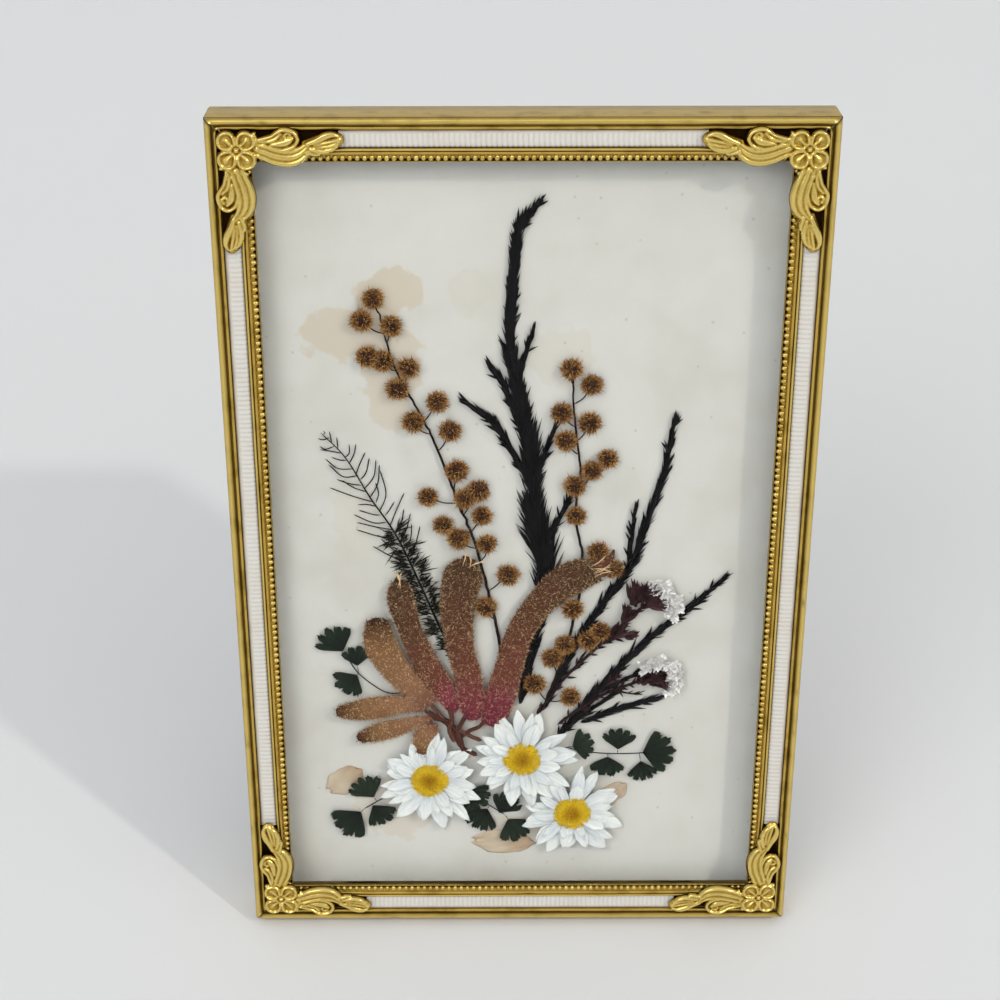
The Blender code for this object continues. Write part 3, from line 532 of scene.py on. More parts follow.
def paper_daisy_bract(colours):
    """The dry papery bract of an everlasting daisy: chalk white with fine pleats along it, a little
    see-through at its edge, with painted shade, a cooler grey, in the folds."""
    material, tree, shader = new_material(
        "papery_everlasting_bract", roughness=0.5, subsurface_weight=0.15, sheen_weight=0.2
    )
    shader.inputs["Subsurface Radius"].default_value = (0.6 * MM, 0.5 * MM, 0.4 * MM)
    # pleats 0.35 mm apart that run with the bract
    pleats = noise(tree, stretched(tree, attribute(tree, "lie"), (0.25, 2.8, 1.0)), 1.0, 3.0)
    shade = calculate(tree, "MULTIPLY_ADD", pleats, 0.6, attribute(tree, "ageing"))
    tinted = calculate(tree, "MULTIPLY_ADD", attribute(tree, "fleck"), 0.15, shade)
    colour = ramp(tree, tinted, (0.3, colours.bract), (0.75, colours.bract_fold_shade), (1.0, colours.bract_base))
    finish(tree, shader, colour, None, pleats, 0.5, 0.12)
    return material


# ---------------------------------------------------------------- moulding rails

MITRE_GAP = 0.3
SIDES = ("top", "bottom", "left", "right")
# Each rail's two tabs, which are bent over the backing board
TAB_SHARE = 0.3
TAB_LENGTH = 9.0
TAB_W = (6.55, 12.5)
TAB_T = (10.3, 10.7)
TAB_BEVEL = 0.08


def half_round(centre, crest, radius, steps):
    """Section points over a half-round ridge, as distance inwards and depth."""
    turn = np.linspace(0.0, math.pi, steps + 1)
    return [(centre - radius * math.cos(a), crest + radius - radius * math.sin(a)) for a in turn]


# The moulding's section as (inwards, back, painted shade and dirt), from the outer wall over the front to the
# back edge
def moulding_section():
    front = [(0.0, 6.0, 0.0), (0.0, 1.35, 0.0), (0.03, 1.15, 0.35), (0.12, 1.0, 0.6)]
    # painted shade: the outer bead darkens down its inner flank, and the grooves, the channel and the beads'
    # seat are dark as shade
    bead_flank_shade = (0.0, 0.0, 0.0, 0.0, 0.0, 0.0, 0.0, 0.0, 0.06, 0.2, 0.42, 0.6, 0.72, 0.78, 0.8)
    front += [(w, t, shade_and_dirt) for (w, t), shade_and_dirt in zip(half_round(0.95, 0.0, 0.8, 14), bead_flank_shade)]
    front += [(1.78, 0.88, 0.75), (1.85, 0.98, 0.6), (1.95, 0.98, 0.4), (2.03, 0.82, 0.1)]
    front += [(2.1, 0.66, 0.0), (2.22, 0.6, 0.0), (2.56, 0.6, 0.0), (2.68, 0.68, 0.0)]
    front += [(2.76, 0.9, 0.1), (2.8, 1.68, 0.5), (2.9, 1.7, 1.0), (6.85, 1.7, 1.0), (6.93, 1.66, 1.0)]
    front += [(6.96, 0.85, 0.6), (7.02, 0.64, 0.0), (7.14, 0.5, 0.0), (7.3, 0.46, 0.0), (7.46, 0.5, 0.0)]
    front += [(7.56, 0.66, 0.3), (7.6, 0.92, 0.85), (7.7, 0.94, 0.85), (7.76, 0.74, 0.3)]
    front += [(7.88, 0.6, 0.08), (8.08, 0.56, 0.0), (8.3, 0.64, 0.1), (8.46, 0.86, 0.3)]
    front += [(8.54, 1.25, 0.4), (8.66, 1.3, 0.3), (9.2, 1.34, 0.2), (9.5, 1.6, 1.0), (9.94, 1.62, 1.0)]
    front += [(10.0, 1.35, 0.5), (10.08, 1.22, 0.1), (10.16, 1.22, 0.1), (10.2, 1.34, 0.3)]
    back = [(10.2, 2.15, 0.8), (10.15, 2.2, 0.8), (6.6, 2.3, 0.6), (6.6, 10.5, 0.3), (5.9, 10.5, 0.3)]
    back += [(5.9, 2.5, 0.6), (0.9, 2.5, 0.6), (0.9, 10.75, 0.2), (0.82, 10.8, 0.1), (0.08, 10.8, 0.1)]
    return np.array(front + back + [(0.0, 10.72, 0.1)])


def rail_length(side):
    return 2 * HALF_WIDTH if side in ("top", "bottom") else HEIGHT


def rail_points(side, s, w, t):
    """Frame coordinates of points on a rail: s along it from its middle, w inwards and t back."""
    s, w, t = np.broadcast_arrays(s, w, t)
    if side == "bottom":
        return stacked(s, w, t)
    if side == "top":
        return stacked(s, HEIGHT - w, t)
    if side == "left":
        return stacked(w - HALF_WIDTH, HEIGHT / 2 + s, t)
    return stacked(HALF_WIDTH - w, HEIGHT / 2 + s, t)


def add_tab(build, side, s_span, w_span, t_span):
    """A small bevelled plate on a rail."""
    front, back = t_span
    rings = []
    edges = (front, TAB_BEVEL), (front + TAB_BEVEL, 0.0), (back - TAB_BEVEL, 0.0), (back, TAB_BEVEL)
    for t, inset in edges:
        corners = (
            (s_span[0] + inset, w_span[0] + inset),
            (s_span[1] - inset, w_span[0] + inset),
            (s_span[1] - inset, w_span[1] - inset),
            (s_span[0] + inset, w_span[1] - inset),
        )
        rings.append([rail_points(side, s, w, t) for s, w in corners])
    faces = [grid_faces(4, 4, True), np.array([[3, 2, 1, 0]]), np.array([[12, 13, 14, 15]])]
    build.add(np.array(rings), faces, 0.2)


def add_moulding(build, side, knocks, rng):
    """The moulding swept along a rail between its mitres, with small knocks in its crests."""
    section = moulding_section()
    count = max(60, int(rail_length(side) / 1.5))
    share = np.linspace(-1.0, 1.0, count)[:, None]
    reach = rail_length(side) / 2 - section[:, 0] - MITRE_GAP / math.sqrt(2.0)
    s = share * reach
    w = np.broadcast_to(section[:, 0], s.shape).copy()
    t = np.broadcast_to(section[:, 1], s.shape).copy()
    shade_and_dirt = np.broadcast_to(section[:, 2], s.shape).copy()
    front = section[:, 1] < 1.3
    for _ in range(knocks):
        place, line = rng.uniform(-0.95, 0.95) * rail_length(side) / 2, rng.choice((0.95, 0.6, 2.4, 7.75))
        size, depth = rng.uniform(0.4, 1.4), rng.uniform(0.05, 0.16)
        hit = np.exp(-(((s - place) / size) ** 2) - ((w - line) / 0.4) ** 2) * front
        t += hit * depth
        shade_and_dirt += hit * rng.uniform(0.1, 0.5)
    waver = np.interp(s, np.linspace(-110, 110, 60), rng.normal(0.0, 0.02, 60)) * front
    points = rail_points(side, s, w, t + waver)
    across = np.concatenate(([0.0], np.cumsum(np.linalg.norm(np.diff(section[:, :2], axis=0), axis=1))))
    lie = stacked(s, across, float(SIDES.index(side) * 40))
    ends = [np.arange(len(section))[None], (np.arange(len(section)) + (count - 1) * len(section))[::-1][None]]
    # painted highlight: the crests of the outer and inner beads on the front are marked to turn bright gold
    crest = np.exp(-(((section[:, 0] - 0.8) / 0.42) ** 2)) + np.exp(-(((section[:, 0] - 7.25) / 0.25) ** 2))
    crest_highlight = np.broadcast_to(0.7 * crest * (section[:, 1] < 1.0), s.shape)
    build.add(points, [grid_faces(count, len(section), True)] + ends, clamp(shade_and_dirt), crest_highlight, lie)


def add_pearls(build, side, pitch, rng):
    """The row of raised beads by the sight edge, each a low dome on the seat."""
    half = rail_length(side) / 2 - 9.9
    count = int(2 * half / pitch)
    turn = full_turn(12)
    rise = np.radians((-20.0, 5.0, 28.0, 50.0, 70.0, 84.0))
    for s in (np.arange(count) - (count - 1) / 2) * (2 * half / count):
        radius = 0.68 + rng.uniform(-0.03, 0.03)
        w = 9.22 + rng.uniform(-0.03, 0.03)
        out = np.cos(rise)[:, None] * radius
        points = rail_points(
            side,
            s + out * np.cos(turn) * 0.96,
            w + out * np.sin(turn) * 1.16,
            1.42 - np.sin(rise)[:, None] * radius,
        )
        # painted shade: each bead darkens over its lower rings, most on its side towards the sight edge
        low = np.interp(np.degrees(rise), (-20.0, 5.0, 35.0), (1.0, 0.6, 0.0))[:, None]
        shade_and_dirt = low * clamp(0.4 + 0.8 * np.sin(turn))
        top = (np.arange(12) + 60)[None]
        build.add(points, [grid_faces(6, 12, True), top], shade_and_dirt, rng.uniform(), points)


# ---------------------------------------------------------------- corner ornaments

ORNAMENT_BACK_T = 0.15
FLOWER = 7.1
BAND = (
    (11.4, 6.9, 3.8), (13.4, 7.5, 4.2), (15.6, 8.3, 4.6), (18.5, 8.7, 4.6), (21.0, 8.0, 3.9),
    (23.4, 5.9, 2.0),
)  # fmt: skip
SCROLL_RIM = (
    (12.0, 4.6, 0.8), (13.8, 4.2, 0.9), (15.1, 3.8, 0.9), (16.2, 3.0, 1.0), (17.4, 2.45, 1.1),
    (18.9, 2.55, 1.1), (20.2, 3.2, 1.1), (20.8, 4.4, 1.1), (20.4, 5.5, 1.05), (19.3, 6.4, 1.0),
    (17.1, 6.9, 0.9), (14.9, 6.5, 0.8), (13.1, 5.8, 0.7),
)  # fmt: skip
SCROLL_BED = ((12.0, 5.2, 1.6), (14.6, 5.2, 2.8), (17.4, 4.8, 4.6), (18.6, 4.5, 4.6))
SCROLL_MOON = ((14.7, 5.75, 0.6), (16.5, 5.6, 1.6), (18.3, 5.3, 1.8), (19.6, 4.4, 1.0))
SCROLL_WING = ((17.0, 3.4, 0.7), (15.7, 4.6, 1.0), (13.9, 5.1, 1.0), (12.4, 5.0, 0.9))
SCROLL_CURL = ((19.3, 3.7, 0.6), (18.5, 3.2, 0.6), (17.8, 3.9, 0.6), (18.3, 4.6, 0.6), (18.8, 4.1, 0.5))
LEAF_BODY = ((22.6, 6.0, 2.4), (25.3, 5.6, 3.8), (27.5, 5.3, 4.3), (29.2, 4.8, 3.4), (30.4, 4.4, 0.9))
LEAF_PETALS = (
    ((29.9, 3.9, 0.8), (28.6, 3.5, 1.3), (26.8, 3.9, 1.7), (24.8, 4.9, 1.5), (22.8, 5.6, 1.1)),
    ((30.3, 4.5, 0.5), (28.8, 4.9, 0.9), (27.0, 5.3, 0.9), (24.4, 5.9, 0.7)),
    ((30.1, 5.0, 0.5), (28.9, 5.7, 0.8), (27.0, 6.2, 0.8), (24.4, 6.4, 0.7)),
    ((29.6, 5.8, 0.7), (28.3, 6.8, 1.2), (26.0, 7.3, 1.3), (23.6, 6.8, 1.1)),
)
LEAF_CALYX = ((25.6, 8.1, 0.5), (24.4, 8.0, 1.0), (22.6, 7.5, 1.1))
# The plain ridges of an arm: path, how far in the top of the ridge starts, its rise, height at its edge
RIDGES = (
    (SCROLL_RIM, 0.45, 0.8, 0.3), (SCROLL_MOON, 0.7, 0.62, 0.4), (SCROLL_WING, 0.35, 0.6, 0.3),
    (SCROLL_CURL, 0.35, 0.6, 0.3), (LEAF_CALYX, 0.6, 0.65, 0.4),
)  # fmt: skip
COLLAR = ((11.2, 3.4, 1.0), (11.5, 5.0, 1.2), (11.9, 7.0, 1.2), (12.4, 9.2, 0.9))


def beside(spots, path):
    """Where spots lie by a strip with rows of a, b and width: how far inside, along and across it."""
    line, run = smooth_line(path, 0.5)
    inside = np.full(len(spots), -99.0)
    along, across = np.zeros(len(spots)), np.zeros(len(spots))
    for (a, b, width), (a2, b2, width2), start, end in zip(line, line[1:], run, run[1:]):
        edge = np.array((a2 - a, b2 - b))
        from_start = spots - (a, b)
        share = clamp(from_start @ edge / (edge @ edge))
        off = from_start - share[:, None] * edge
        half = (width + share * (width2 - width)) / 2
        depth = half - np.hypot(*off.T)
        nearer = depth > inside
        inside[nearer] = depth[nearer]
        along[nearer] = ((start + share * (end - start)) / run[-1])[nearer]
        turn = np.sign(edge[0] * off[:, 1] - edge[1] * off[:, 0])
        across[nearer] = (turn * np.hypot(*off.T) / half)[nearer]
    return inside, along, across


def dome(inside, width, height, base):
    """A rounded ridge that rises from base at its edge to base + height at width inside it."""
    share = clamp(inside / width)
    return base + height * np.sqrt(clamp(1.0 - (1.0 - share) ** 2))


def arm_relief(spots):
    """The raised shapes of one arm, as (inside, height) pairs."""
    inside, along, across = beside(spots, BAND)
    reeds = np.abs(np.cos(1.5 * math.pi * across)) ** 0.4
    crown = 0.3 * np.sin(along * math.pi)
    shapes = [(inside, 0.3 + (crown + 0.5 * reeds) * np.clip(inside / 0.5, 0.1, 1.0))]
    inside, _, _ = beside(spots, SCROLL_BED)
    shapes.append((inside, np.full(len(spots), 0.5)))
    for path, width, rise, base in RIDGES:
        inside, _, _ = beside(spots, path)
        shapes.append((inside, dome(inside, width, rise, base)))
    inside, _, _ = beside(spots, LEAF_BODY)
    shapes.append((inside, 0.25 + 0.35 * clamp(inside / 1.2)))
    for path in LEAF_PETALS:
        inside, along, _ = beside(spots, path)
        shapes.append((inside, dome(inside, 0.6, 0.5, 0.5) + 0.15 * np.sin(along * math.pi)))
    inside, along, _ = beside(spots, COLLAR)
    beads = 0.5 + 0.5 * np.cos(along * 7.0 * math.pi)
    shapes.append((inside, dome(inside, 0.6, 0.3 + 0.3 * beads, 0.35)))
    return shapes


def flower_relief(spots):
    """Four lobes on the diagonals with rolled rims and short ribs, round a ring and a button."""
    from_centre = spots - FLOWER
    away = np.hypot(*from_centre.T)
    bearing = np.arctan2(from_centre[:, 1], from_centre[:, 0])
    shapes = []
    for quarter in range(4):
        turn = math.pi / 4 + quarter * math.pi / 2
        centre = np.array((math.cos(turn), math.sin(turn))) * 2.95
        round_lobe = np.hypot(*(from_centre - centre).T)
        inside = 2.42 - round_lobe
        lean = np.cos(bearing - turn)
        rim = np.exp(-(((inside - 0.5) / 0.34) ** 2)) * clamp((away - 0.9) / 0.8)
        swing = (bearing - turn + math.pi) % (2 * math.pi) - math.pi
        ribs = clamp(np.cos(swing * 11.0))
        fade = clamp((4.3 - away) / 1.2) * clamp((away - 1.2) / 0.4)
        dish = 0.2 * clamp((away - 1.0) / 3.4)
        height = 0.48 + dish + 0.5 * rim + 0.36 * ribs * fade * clamp(inside / 0.6)
        shapes.append((inside, np.where(lean > 0.69, height, 0.14)))
    ring = 0.3 - np.abs(away - 1.18)
    shapes.append((ring, dome(ring, 0.3, 0.4, 0.45)))
    button = 0.72 - away
    shapes.append((button, dome(button, 0.7, 0.75, 0.35)))
    bed = 2.4 - away
    shapes.append((bed, np.full(len(spots), 0.14)))
    return shapes


def ornament_relief(spots):
    """How far inside the ornament's outline spots lie, and its height over its flat back, in mm."""
    inside = np.full(len(spots), -99.0)
    height = np.zeros(len(spots))
    for shape_inside, shape_height in flower_relief(spots) + arm_relief(spots) + arm_relief(spots[:, ::-1]):
        inside = np.maximum(inside, shape_inside)
        edge = clamp(shape_inside / 0.12)
        height = np.maximum(height, np.where(shape_inside > 0.0, shape_height * (0.6 + 0.4 * edge), 0.0))
    return inside, height


def blurred(field, reach):
    """A field averaged over the cells within reach of each, along both axes."""
    for axis in (0, 1):
        padded = np.pad(field, [(reach, reach) if axis == i else (0, 0) for i in (0, 1)], mode="edge")
        count = field.shape[axis]
        shifts = (np.take(padded, range(i, i + count), axis=axis) for i in range(2 * reach + 1))
        field = sum(shifts) / (2 * reach + 1)
    return field


def ornament_mesh(step, depth):
    """Points (a, b, t), quads and painted cavity shade of the stamping on a grid trimmed to its outline."""
    axis = np.arange(1.0, 32.4, step)
    a, b = np.meshgrid(axis, axis, indexing="ij")
    spots = np.column_stack((a.ravel(), b.ravel()))
    inside, _ = ornament_relief(spots)
    cells = grid_faces(len(axis), len(axis))
    cells = cells[(inside[cells] > 0.0).any(axis=1)]
    for _ in range(2):
        field = inside.reshape(a.shape)
        slope = np.stack(np.gradient(field, step), axis=-1).reshape(-1, 2)
        size = np.maximum(np.linalg.norm(slope, axis=1), 0.3)[:, None]
        outside = np.isin(np.arange(len(spots)), cells) & (inside < 0.0)
        move = (slope / size) * np.clip(-inside, 0.0, step)[:, None]
        spots = np.where(outside[:, None], spots + move, spots)
        inside = ornament_relief(spots)[0]
    height = np.maximum(ornament_relief(spots)[1], 0.12).reshape(a.shape)
    height = blurred(height, 1) * depth
    wide = blurred(blurred(height, int(0.5 / step)), int(0.5 / step))
    # painted shade: darker where the relief lies below the blurred relief round it, and where it is low
    hollow_shade = (0.2 + (wide - height) * 2.1 + np.clip(0.45 - height, 0.0, 0.45)).ravel()
    height = height.ravel()
    used, cells = np.unique(cells, return_inverse=True)
    cells = cells.reshape(-1, 4)
    top = np.column_stack((spots[used], ORNAMENT_BACK_T - height[used]))
    back = np.column_stack((spots[used], np.full(len(used), ORNAMENT_BACK_T)))
    edges = {}
    for quad in cells.tolist():
        for start, end in zip(quad, quad[1:] + quad[:1]):
            edges[(start, end)] = edges.get((start, end), 0) + 1
    rim = [(s, e) for s, e in edges if (e, s) not in edges]
    size = len(used)
    walls = np.array([(e, s, s + size, e + size) for s, e in rim])
    shade_and_dirt = np.concatenate((clamp(hollow_shade[used]), np.ones(size)))
    return np.vstack((top, back)), [cells, cells[:, ::-1] + size, walls], shade_and_dirt


# ---------------------------------------------------------------- ribbon inlays

RIBBON_W = (2.95, 6.8)
RIBBON_FROM_CORNER = 29.6
RIBBON_T = (0.98, 1.45)


def add_ribbon(build, side, pitch, rng):
    """A corded ribbon laid in the channel: rounded cords across it, with its back flat."""
    half = rail_length(side) / 2 - RIBBON_FROM_CORNER
    along = np.linspace(-half, half, int(2 * half / pitch * 8))
    across = np.linspace(0.0, 1.0, 9)
    lean = np.interp(along, np.linspace(-half, half, 14), rng.uniform(-0.12, 0.12, 14))
    phase = (along[:, None] + lean[:, None] * (across - 0.5)) / pitch
    selvage = across < 0.2
    cord = np.where(selvage, 0.8, np.abs(np.sin(math.pi * phase)) ** 0.6)
    edge = clamp(np.minimum(across, 1.0 - across) / 0.14) ** 0.5
    pull = np.interp(along, np.linspace(-half, half, 30), rng.uniform(0.0, 0.08, 30))[:, None]
    t = RIBBON_T[1] - (RIBBON_T[1] - RIBBON_T[0] - pull) * (0.3 + 0.4 * cord + 0.3 * edge)
    w = RIBBON_W[0] + (RIBBON_W[1] - RIBBON_W[0]) * across + 0.0 * t
    bow = 0.16 * (across - 0.5) ** 2 * 4.0
    top = rail_points(side, along[:, None] + bow + 0.0 * w, w, t)
    back = rail_points(side, along[:, None] + bow[[0, -1]], w[:, [0, -1]], RIBBON_T[1] + 0.05)
    rows, columns = t.shape
    ring = np.concatenate((top, back[:, ::-1]), axis=1)
    lie = stacked(along[:, None], np.append(across, (1.0, 0.0)) * 3.85, 0.0)
    # painted shade: grey between the cords and along the ribbon's edges; the selvage is moved towards the
    # warmer cream
    valley_shade = clamp(1.0 - cord) * 0.6 + (1.0 - edge) * 0.25 + 0.4 * selvage
    valley_shade = np.concatenate((valley_shade, np.ones((rows, 2))), axis=1)
    loop = columns + 2
    ends = [np.arange(loop)[None], (np.arange(loop) + (rows - 1) * loop)[::-1][None]]
    build.add(ring, [grid_faces(rows, loop, True)] + ends, clamp(valley_shade), 0.5, lie)


# ---------------------------------------------------------------- kangaroo paws

# Each flower's centre line from its root to its mouth, as u, v and width
PAWS = (
    ((-7.4, 57.2, 5.6), (-5.4, 65.0, 7.6), (-2.8, 75.0, 6.8), (-0.4, 84.0, 6.6), (4.6, 92.6, 7.0),
     (12.0, 99.6, 8.8), (19.4, 102.6, 6.4)),
    ((-12.0, 59.0, 4.4), (-12.6, 65.4, 6.8), (-13.6, 73.0, 6.6), (-15.4, 81.5, 6.8), (-15.8, 92.6, 8.4),
     (-14.2, 101.0, 9.4), (-12.8, 105.0, 4.6)),
    ((-16.8, 61.4, 2.8), (-19.2, 67.0, 5.8), (-23.0, 73.5, 6.6), (-27.6, 84.7, 5.8), (-30.0, 94.5, 6.4),
     (-30.0, 99.4, 3.6)),
    ((-22.4, 63.6, 3.4), (-26.2, 67.4, 6.2), (-31.6, 73.8, 7.2), (-35.4, 81.4, 8.0), (-35.8, 88.6, 5.2)),
    ((-24.0, 62.4, 2.0), (-30.0, 63.6, 4.8), (-38.8, 62.2, 6.2), (-47.2, 61.2, 3.2)),
    ((-22.6, 59.6, 1.6), (-27.5, 58.0, 3.6), (-35.2, 55.6, 5.2), (-42.0, 53.4, 2.8)),
    ((-21.8, 57.8, 1.8), (-24.4, 53.6, 6.0), (-25.8, 48.4, 3.4)),
)  # fmt: skip
PAW_STEMS = (
    ((-8.4, 59.6), (-10.8, 56.6), (-13.6, 55.4), (-16.4, 52.6)),
    ((-13.6, 61.2), (-15.0, 58.0), (-16.4, 55.0), (-15.4, 51.0), (-11.0, 48.2)),
    ((-18.2, 63.2), (-17.6, 59.6), (-18.2, 56.2), (-16.8, 52.6)),
    ((-24.0, 65.4), (-21.0, 60.8), (-18.8, 57.6), (-14.6, 54.6), (-10.4, 52.2)),
    ((-24.6, 62.0), (-21.4, 60.0), (-18.0, 58.4), (-15.6, 54.6), (-14.2, 49.6)),
    ((-22.8, 59.6), (-19.6, 58.2), (-16.6, 53.4)),
)
# The lobes of the three mouths that stand open, as (turn, reach, width) in radians and mm
PAW_MOUTHS = (
    ((0.55, 5.0, 3.2), (0.1, 7.2, 3.0), (-0.35, 7.6, 2.8), (-0.8, 6.4, 2.4)),
    ((0.5, 2.6, 2.6), (-0.5, 2.8, 2.6)),
    ((0.4, 2.0, 2.2), (-0.4, 2.2, 2.2)),
)
RED_PAWS = 3
PAW_BODY_T = 5.85
PAW_STEM_T = 6.0


def paw_line(knots):
    """A paw's centre line in steps of 0.8 mm with its half width and how far along it is."""
    line, run = smooth_line(knots, 0.8)
    half = np.maximum(line[:, 2], 0.8) / 2
    half[0] *= 0.5
    half[-1] *= 0.55
    return line, half, run / run[-1]


def add_paw(build, knots, density, hair_mm, rng):
    """A flattened furry tube: its felted body, and the short woolly hairs that cover it."""
    line, half, share = paw_line(knots)
    centre = at_depth(line, PAW_BODY_T)
    forward = headings(centre)
    side = unit(np.cross(forward, ACROSS))
    sides = 20
    turn = full_turn(sides)
    lumps = 1.0 + rng.normal(0.0, 0.03, (len(line), sides))
    thick = np.minimum(0.85, 0.25 + half * 0.22)
    across = half[:, None] * np.cos(turn) * lumps
    lift = thick[:, None] * np.sin(turn) * lumps
    points = centre[:, None] + side[:, None] * across[..., None] - ACROSS * lift[..., None]
    lie = stacked(share[:, None] * 40, across, 0.0)
    ends = [np.arange(sides)[None], (np.arange(sides) + (len(line) - 1) * sides)[::-1][None]]
    tone = np.repeat(share, sides)
    build.add(points, [grid_faces(len(line), sides, True)] + ends, tone, 0.0, lie)
    spread = np.sum(half) * 0.8 * 2
    count = int(spread * density)
    at = rng.choice(len(line), count, p=half / half.sum())
    bearing = rng.uniform(-0.25, math.pi + 0.25, count)
    out = side[at] * np.cos(bearing)[:, None] - ACROSS * (np.sin(bearing) * 0.9)[:, None]
    roots = (
        centre[at]
        + forward[at] * rng.uniform(-0.4, 0.4, (count, 1))
        + side[at] * (half[at] * np.cos(bearing) * 0.98)[:, None]
        - ACROSS * (thick[at] * np.sin(bearing) * 0.95)[:, None]
    )
    aims = out * 0.55 + forward[at] * rng.normal(0.25, 0.55, (count, 1))
    aims = aims + side[at] * rng.normal(0, 0.5, (count, 1))
    add_hairs(build, roots, aims, rng.uniform(0.5, 1.0, count) * hair_mm, 0.13, 0.4, rng, share[at])


def add_paw_mouth(build, knots, lobes, rng):
    """The split lobes at a paw's open end, with pale curled stamens between them."""
    line, half, _ = paw_line(knots)
    end = at_depth(line, PAW_BODY_T - 0.35)[-3]
    forward = headings(at_depth(line, PAW_BODY_T))[-2]
    side = unit(np.cross(forward, ACROSS))
    for turn, reach, width in lobes:
        aim = unit(forward * math.cos(turn) + side * math.sin(turn))
        bent = unit(aim + side * math.sin(turn) * 0.5)
        tip = [end, end + aim * reach * 0.4, end + aim * reach * 0.7 + bent * 0.3, end + bent * reach]
        path = np.array([[*p[:2], w] for p, w in zip(tip, (width, width * 0.9, width * 0.6, 0.5))])
        add_paw(build, path, 10.0, 0.7, rng)
    for turn in rng.uniform(-0.7, 0.7, len(lobes) + 1):
        aim = forward * math.cos(turn) + side * math.sin(turn)
        curl = side * rng.choice((-1.0, 1.0)) * rng.uniform(0.4, 1.6)
        start = end + side * rng.uniform(-0.5, 0.5) * half[-3]
        path = np.array([start, start + aim * 2.0, start + aim * 3.6 + curl * 0.5, start + aim * 4.6 + curl])
        path[:, 2] = PAW_BODY_T - 1.0
        add_stem(build, path, 0.14, 1.0, 1.6)


def add_paw_stem(build, path, t, rng):
    """One branch of the paws' stalk, slightly crooked."""
    line = at_depth(smooth_line(path, 0.6)[0], t)
    line[:, :2] += np.cumsum(rng.normal(0.0, 0.05, (len(line), 2)), axis=0)
    add_stem(build, line, rng.uniform(0.4, 0.7), rng.uniform(), rng.uniform(), 8)


# ---------------------------------------------------------------- wattle

# Each sprig's stem, and the middles of its flower heads
WATTLE = {
    "left": (
        ((-33.5, 170.0), (-29.9, 155.5), (-21.9, 138.8), (-14.9, 118.9), (-11.3, 109.3), (-7.7, 93.9),
         (-5.2, 79.6), (-4.6, 66.0)),
        ((-34.6, 173.0), (-37.5, 167.6), (-30.6, 166.3), (-36.4, 158.6), (-32.7, 157.6), (-26.8, 155.8),
         (-29.5, 150.5), (-20.1, 147.1), (-25.9, 142.0), (-17.1, 139.6), (-15.6, 129.1), (-10.5, 123.7),
         (-13.7, 121.6), (-22.7, 122.1), (-9.6, 117.0), (-19.1, 114.5), (-15.3, 110.7), (-8.4, 109.3),
         (-3.2, 100.7), (-8.7, 91.7)),
    ),
    "right": (
        ((12.0, 156.0), (12.6, 143.0), (14.4, 128.0), (13.2, 117.0), (15.4, 104.0), (13.8, 90.0),
         (10.6, 76.0), (6.6, 64.0)),
        ((11.8, 155.4), (16.6, 151.4), (9.6, 144.2), (16.3, 141.6), (10.7, 136.9), (20.8, 132.2),
         (17.1, 129.0), (13.0, 125.0), (13.4, 116.9), (19.0, 107.0), (22.8, 102.4), (13.0, 91.1),
         (20.0, 84.6), (17.0, 82.0), (11.2, 80.8), (8.0, 77.0), (3.7, 69.3), (12.7, 65.5)),
    ),
}  # fmt: skip
WATTLE_T = 6.3
WATTLE_STEM_T = 6.75
WATTLE_CORE = 0.72


def add_wattle_head(build, u, v, radius, hairs, rng):
    """A round flower head pressed to a thick disc: a core painted dark as shade, under a coat of fine
    stamens.
    """
    rise = np.radians(np.linspace(-80.0, 80.0, 9))
    turn = full_turn(16)
    core = radius * WATTLE_CORE
    t_core = 0.42
    lumps = 1.0 + rng.normal(0.0, 0.05, (9, 16))
    out, depth = core * np.cos(rise)[:, None], core * t_core * np.sin(rise)[:, None]
    shell = stacked(u + out * np.cos(turn) * lumps, v + out * np.sin(turn) * lumps, WATTLE_T - depth * lumps)
    # painted shade: the dark core stands for the shade inside the head
    build.add(shell, [grid_faces(9, 16, True), *end_caps(9, 16)], 0.15, 0.4)
    aims = unit(rng.normal(0.0, 1.0, (hairs, 3)) * (1.0, 1.0, 0.9))
    aims[:, 2] = np.where(rng.uniform(size=hairs) < 0.75, -np.abs(aims[:, 2]), aims[:, 2])
    roots = np.array((u, v, WATTLE_T)) + aims * core * (0.95, 0.95, t_core)
    tips = aims * (1.0, 1.0, t_core * 1.3)
    outward = np.hypot(aims[:, 0], aims[:, 1])
    length = radius * rng.uniform(0.18, 0.4, hairs) * (0.6 + 0.4 * outward)
    # painted light: stamens lying outwards are lighter, as if lit, and those standing towards glass or card
    # are darker, as shade
    tone = clamp(0.1 + 0.8 * outward + rng.normal(0.0, 0.2, hairs))
    add_hairs(build, roots, tips + rng.normal(0, 0.35, (hairs, 3)), length, 0.17, 0.35, rng, tone)


def add_wattle(build, stem, heads, radius, hairs, rng):
    line, _ = smooth_line(stem, 1.2)
    line = at_depth(line, WATTLE_STEM_T)
    line[:, :2] += rng.normal(0.0, 0.08, (len(line), 2))
    add_stem(build, line, np.linspace(0.22, 0.42, len(line)), 0.0, 0.1)
    for u, v in heads:
        start = line[nearest(line, (u, v - 4.5))]
        bend = (start[:2] + (u, v)) / 2 + (rng.uniform(-0.5, 0.5), -0.8)
        stalk, _ = smooth_line((start[:2], bend, (u, v)), 0.8)
        add_stem(build, at_depth(stalk, WATTLE_STEM_T - 0.05), 0.17, 0.0, 0.1)
    for u, v in heads:
        add_wattle_head(build, u, v, radius * rng.uniform(0.92, 1.08), hairs, rng)


# ---------------------------------------------------------------- dark sprigs

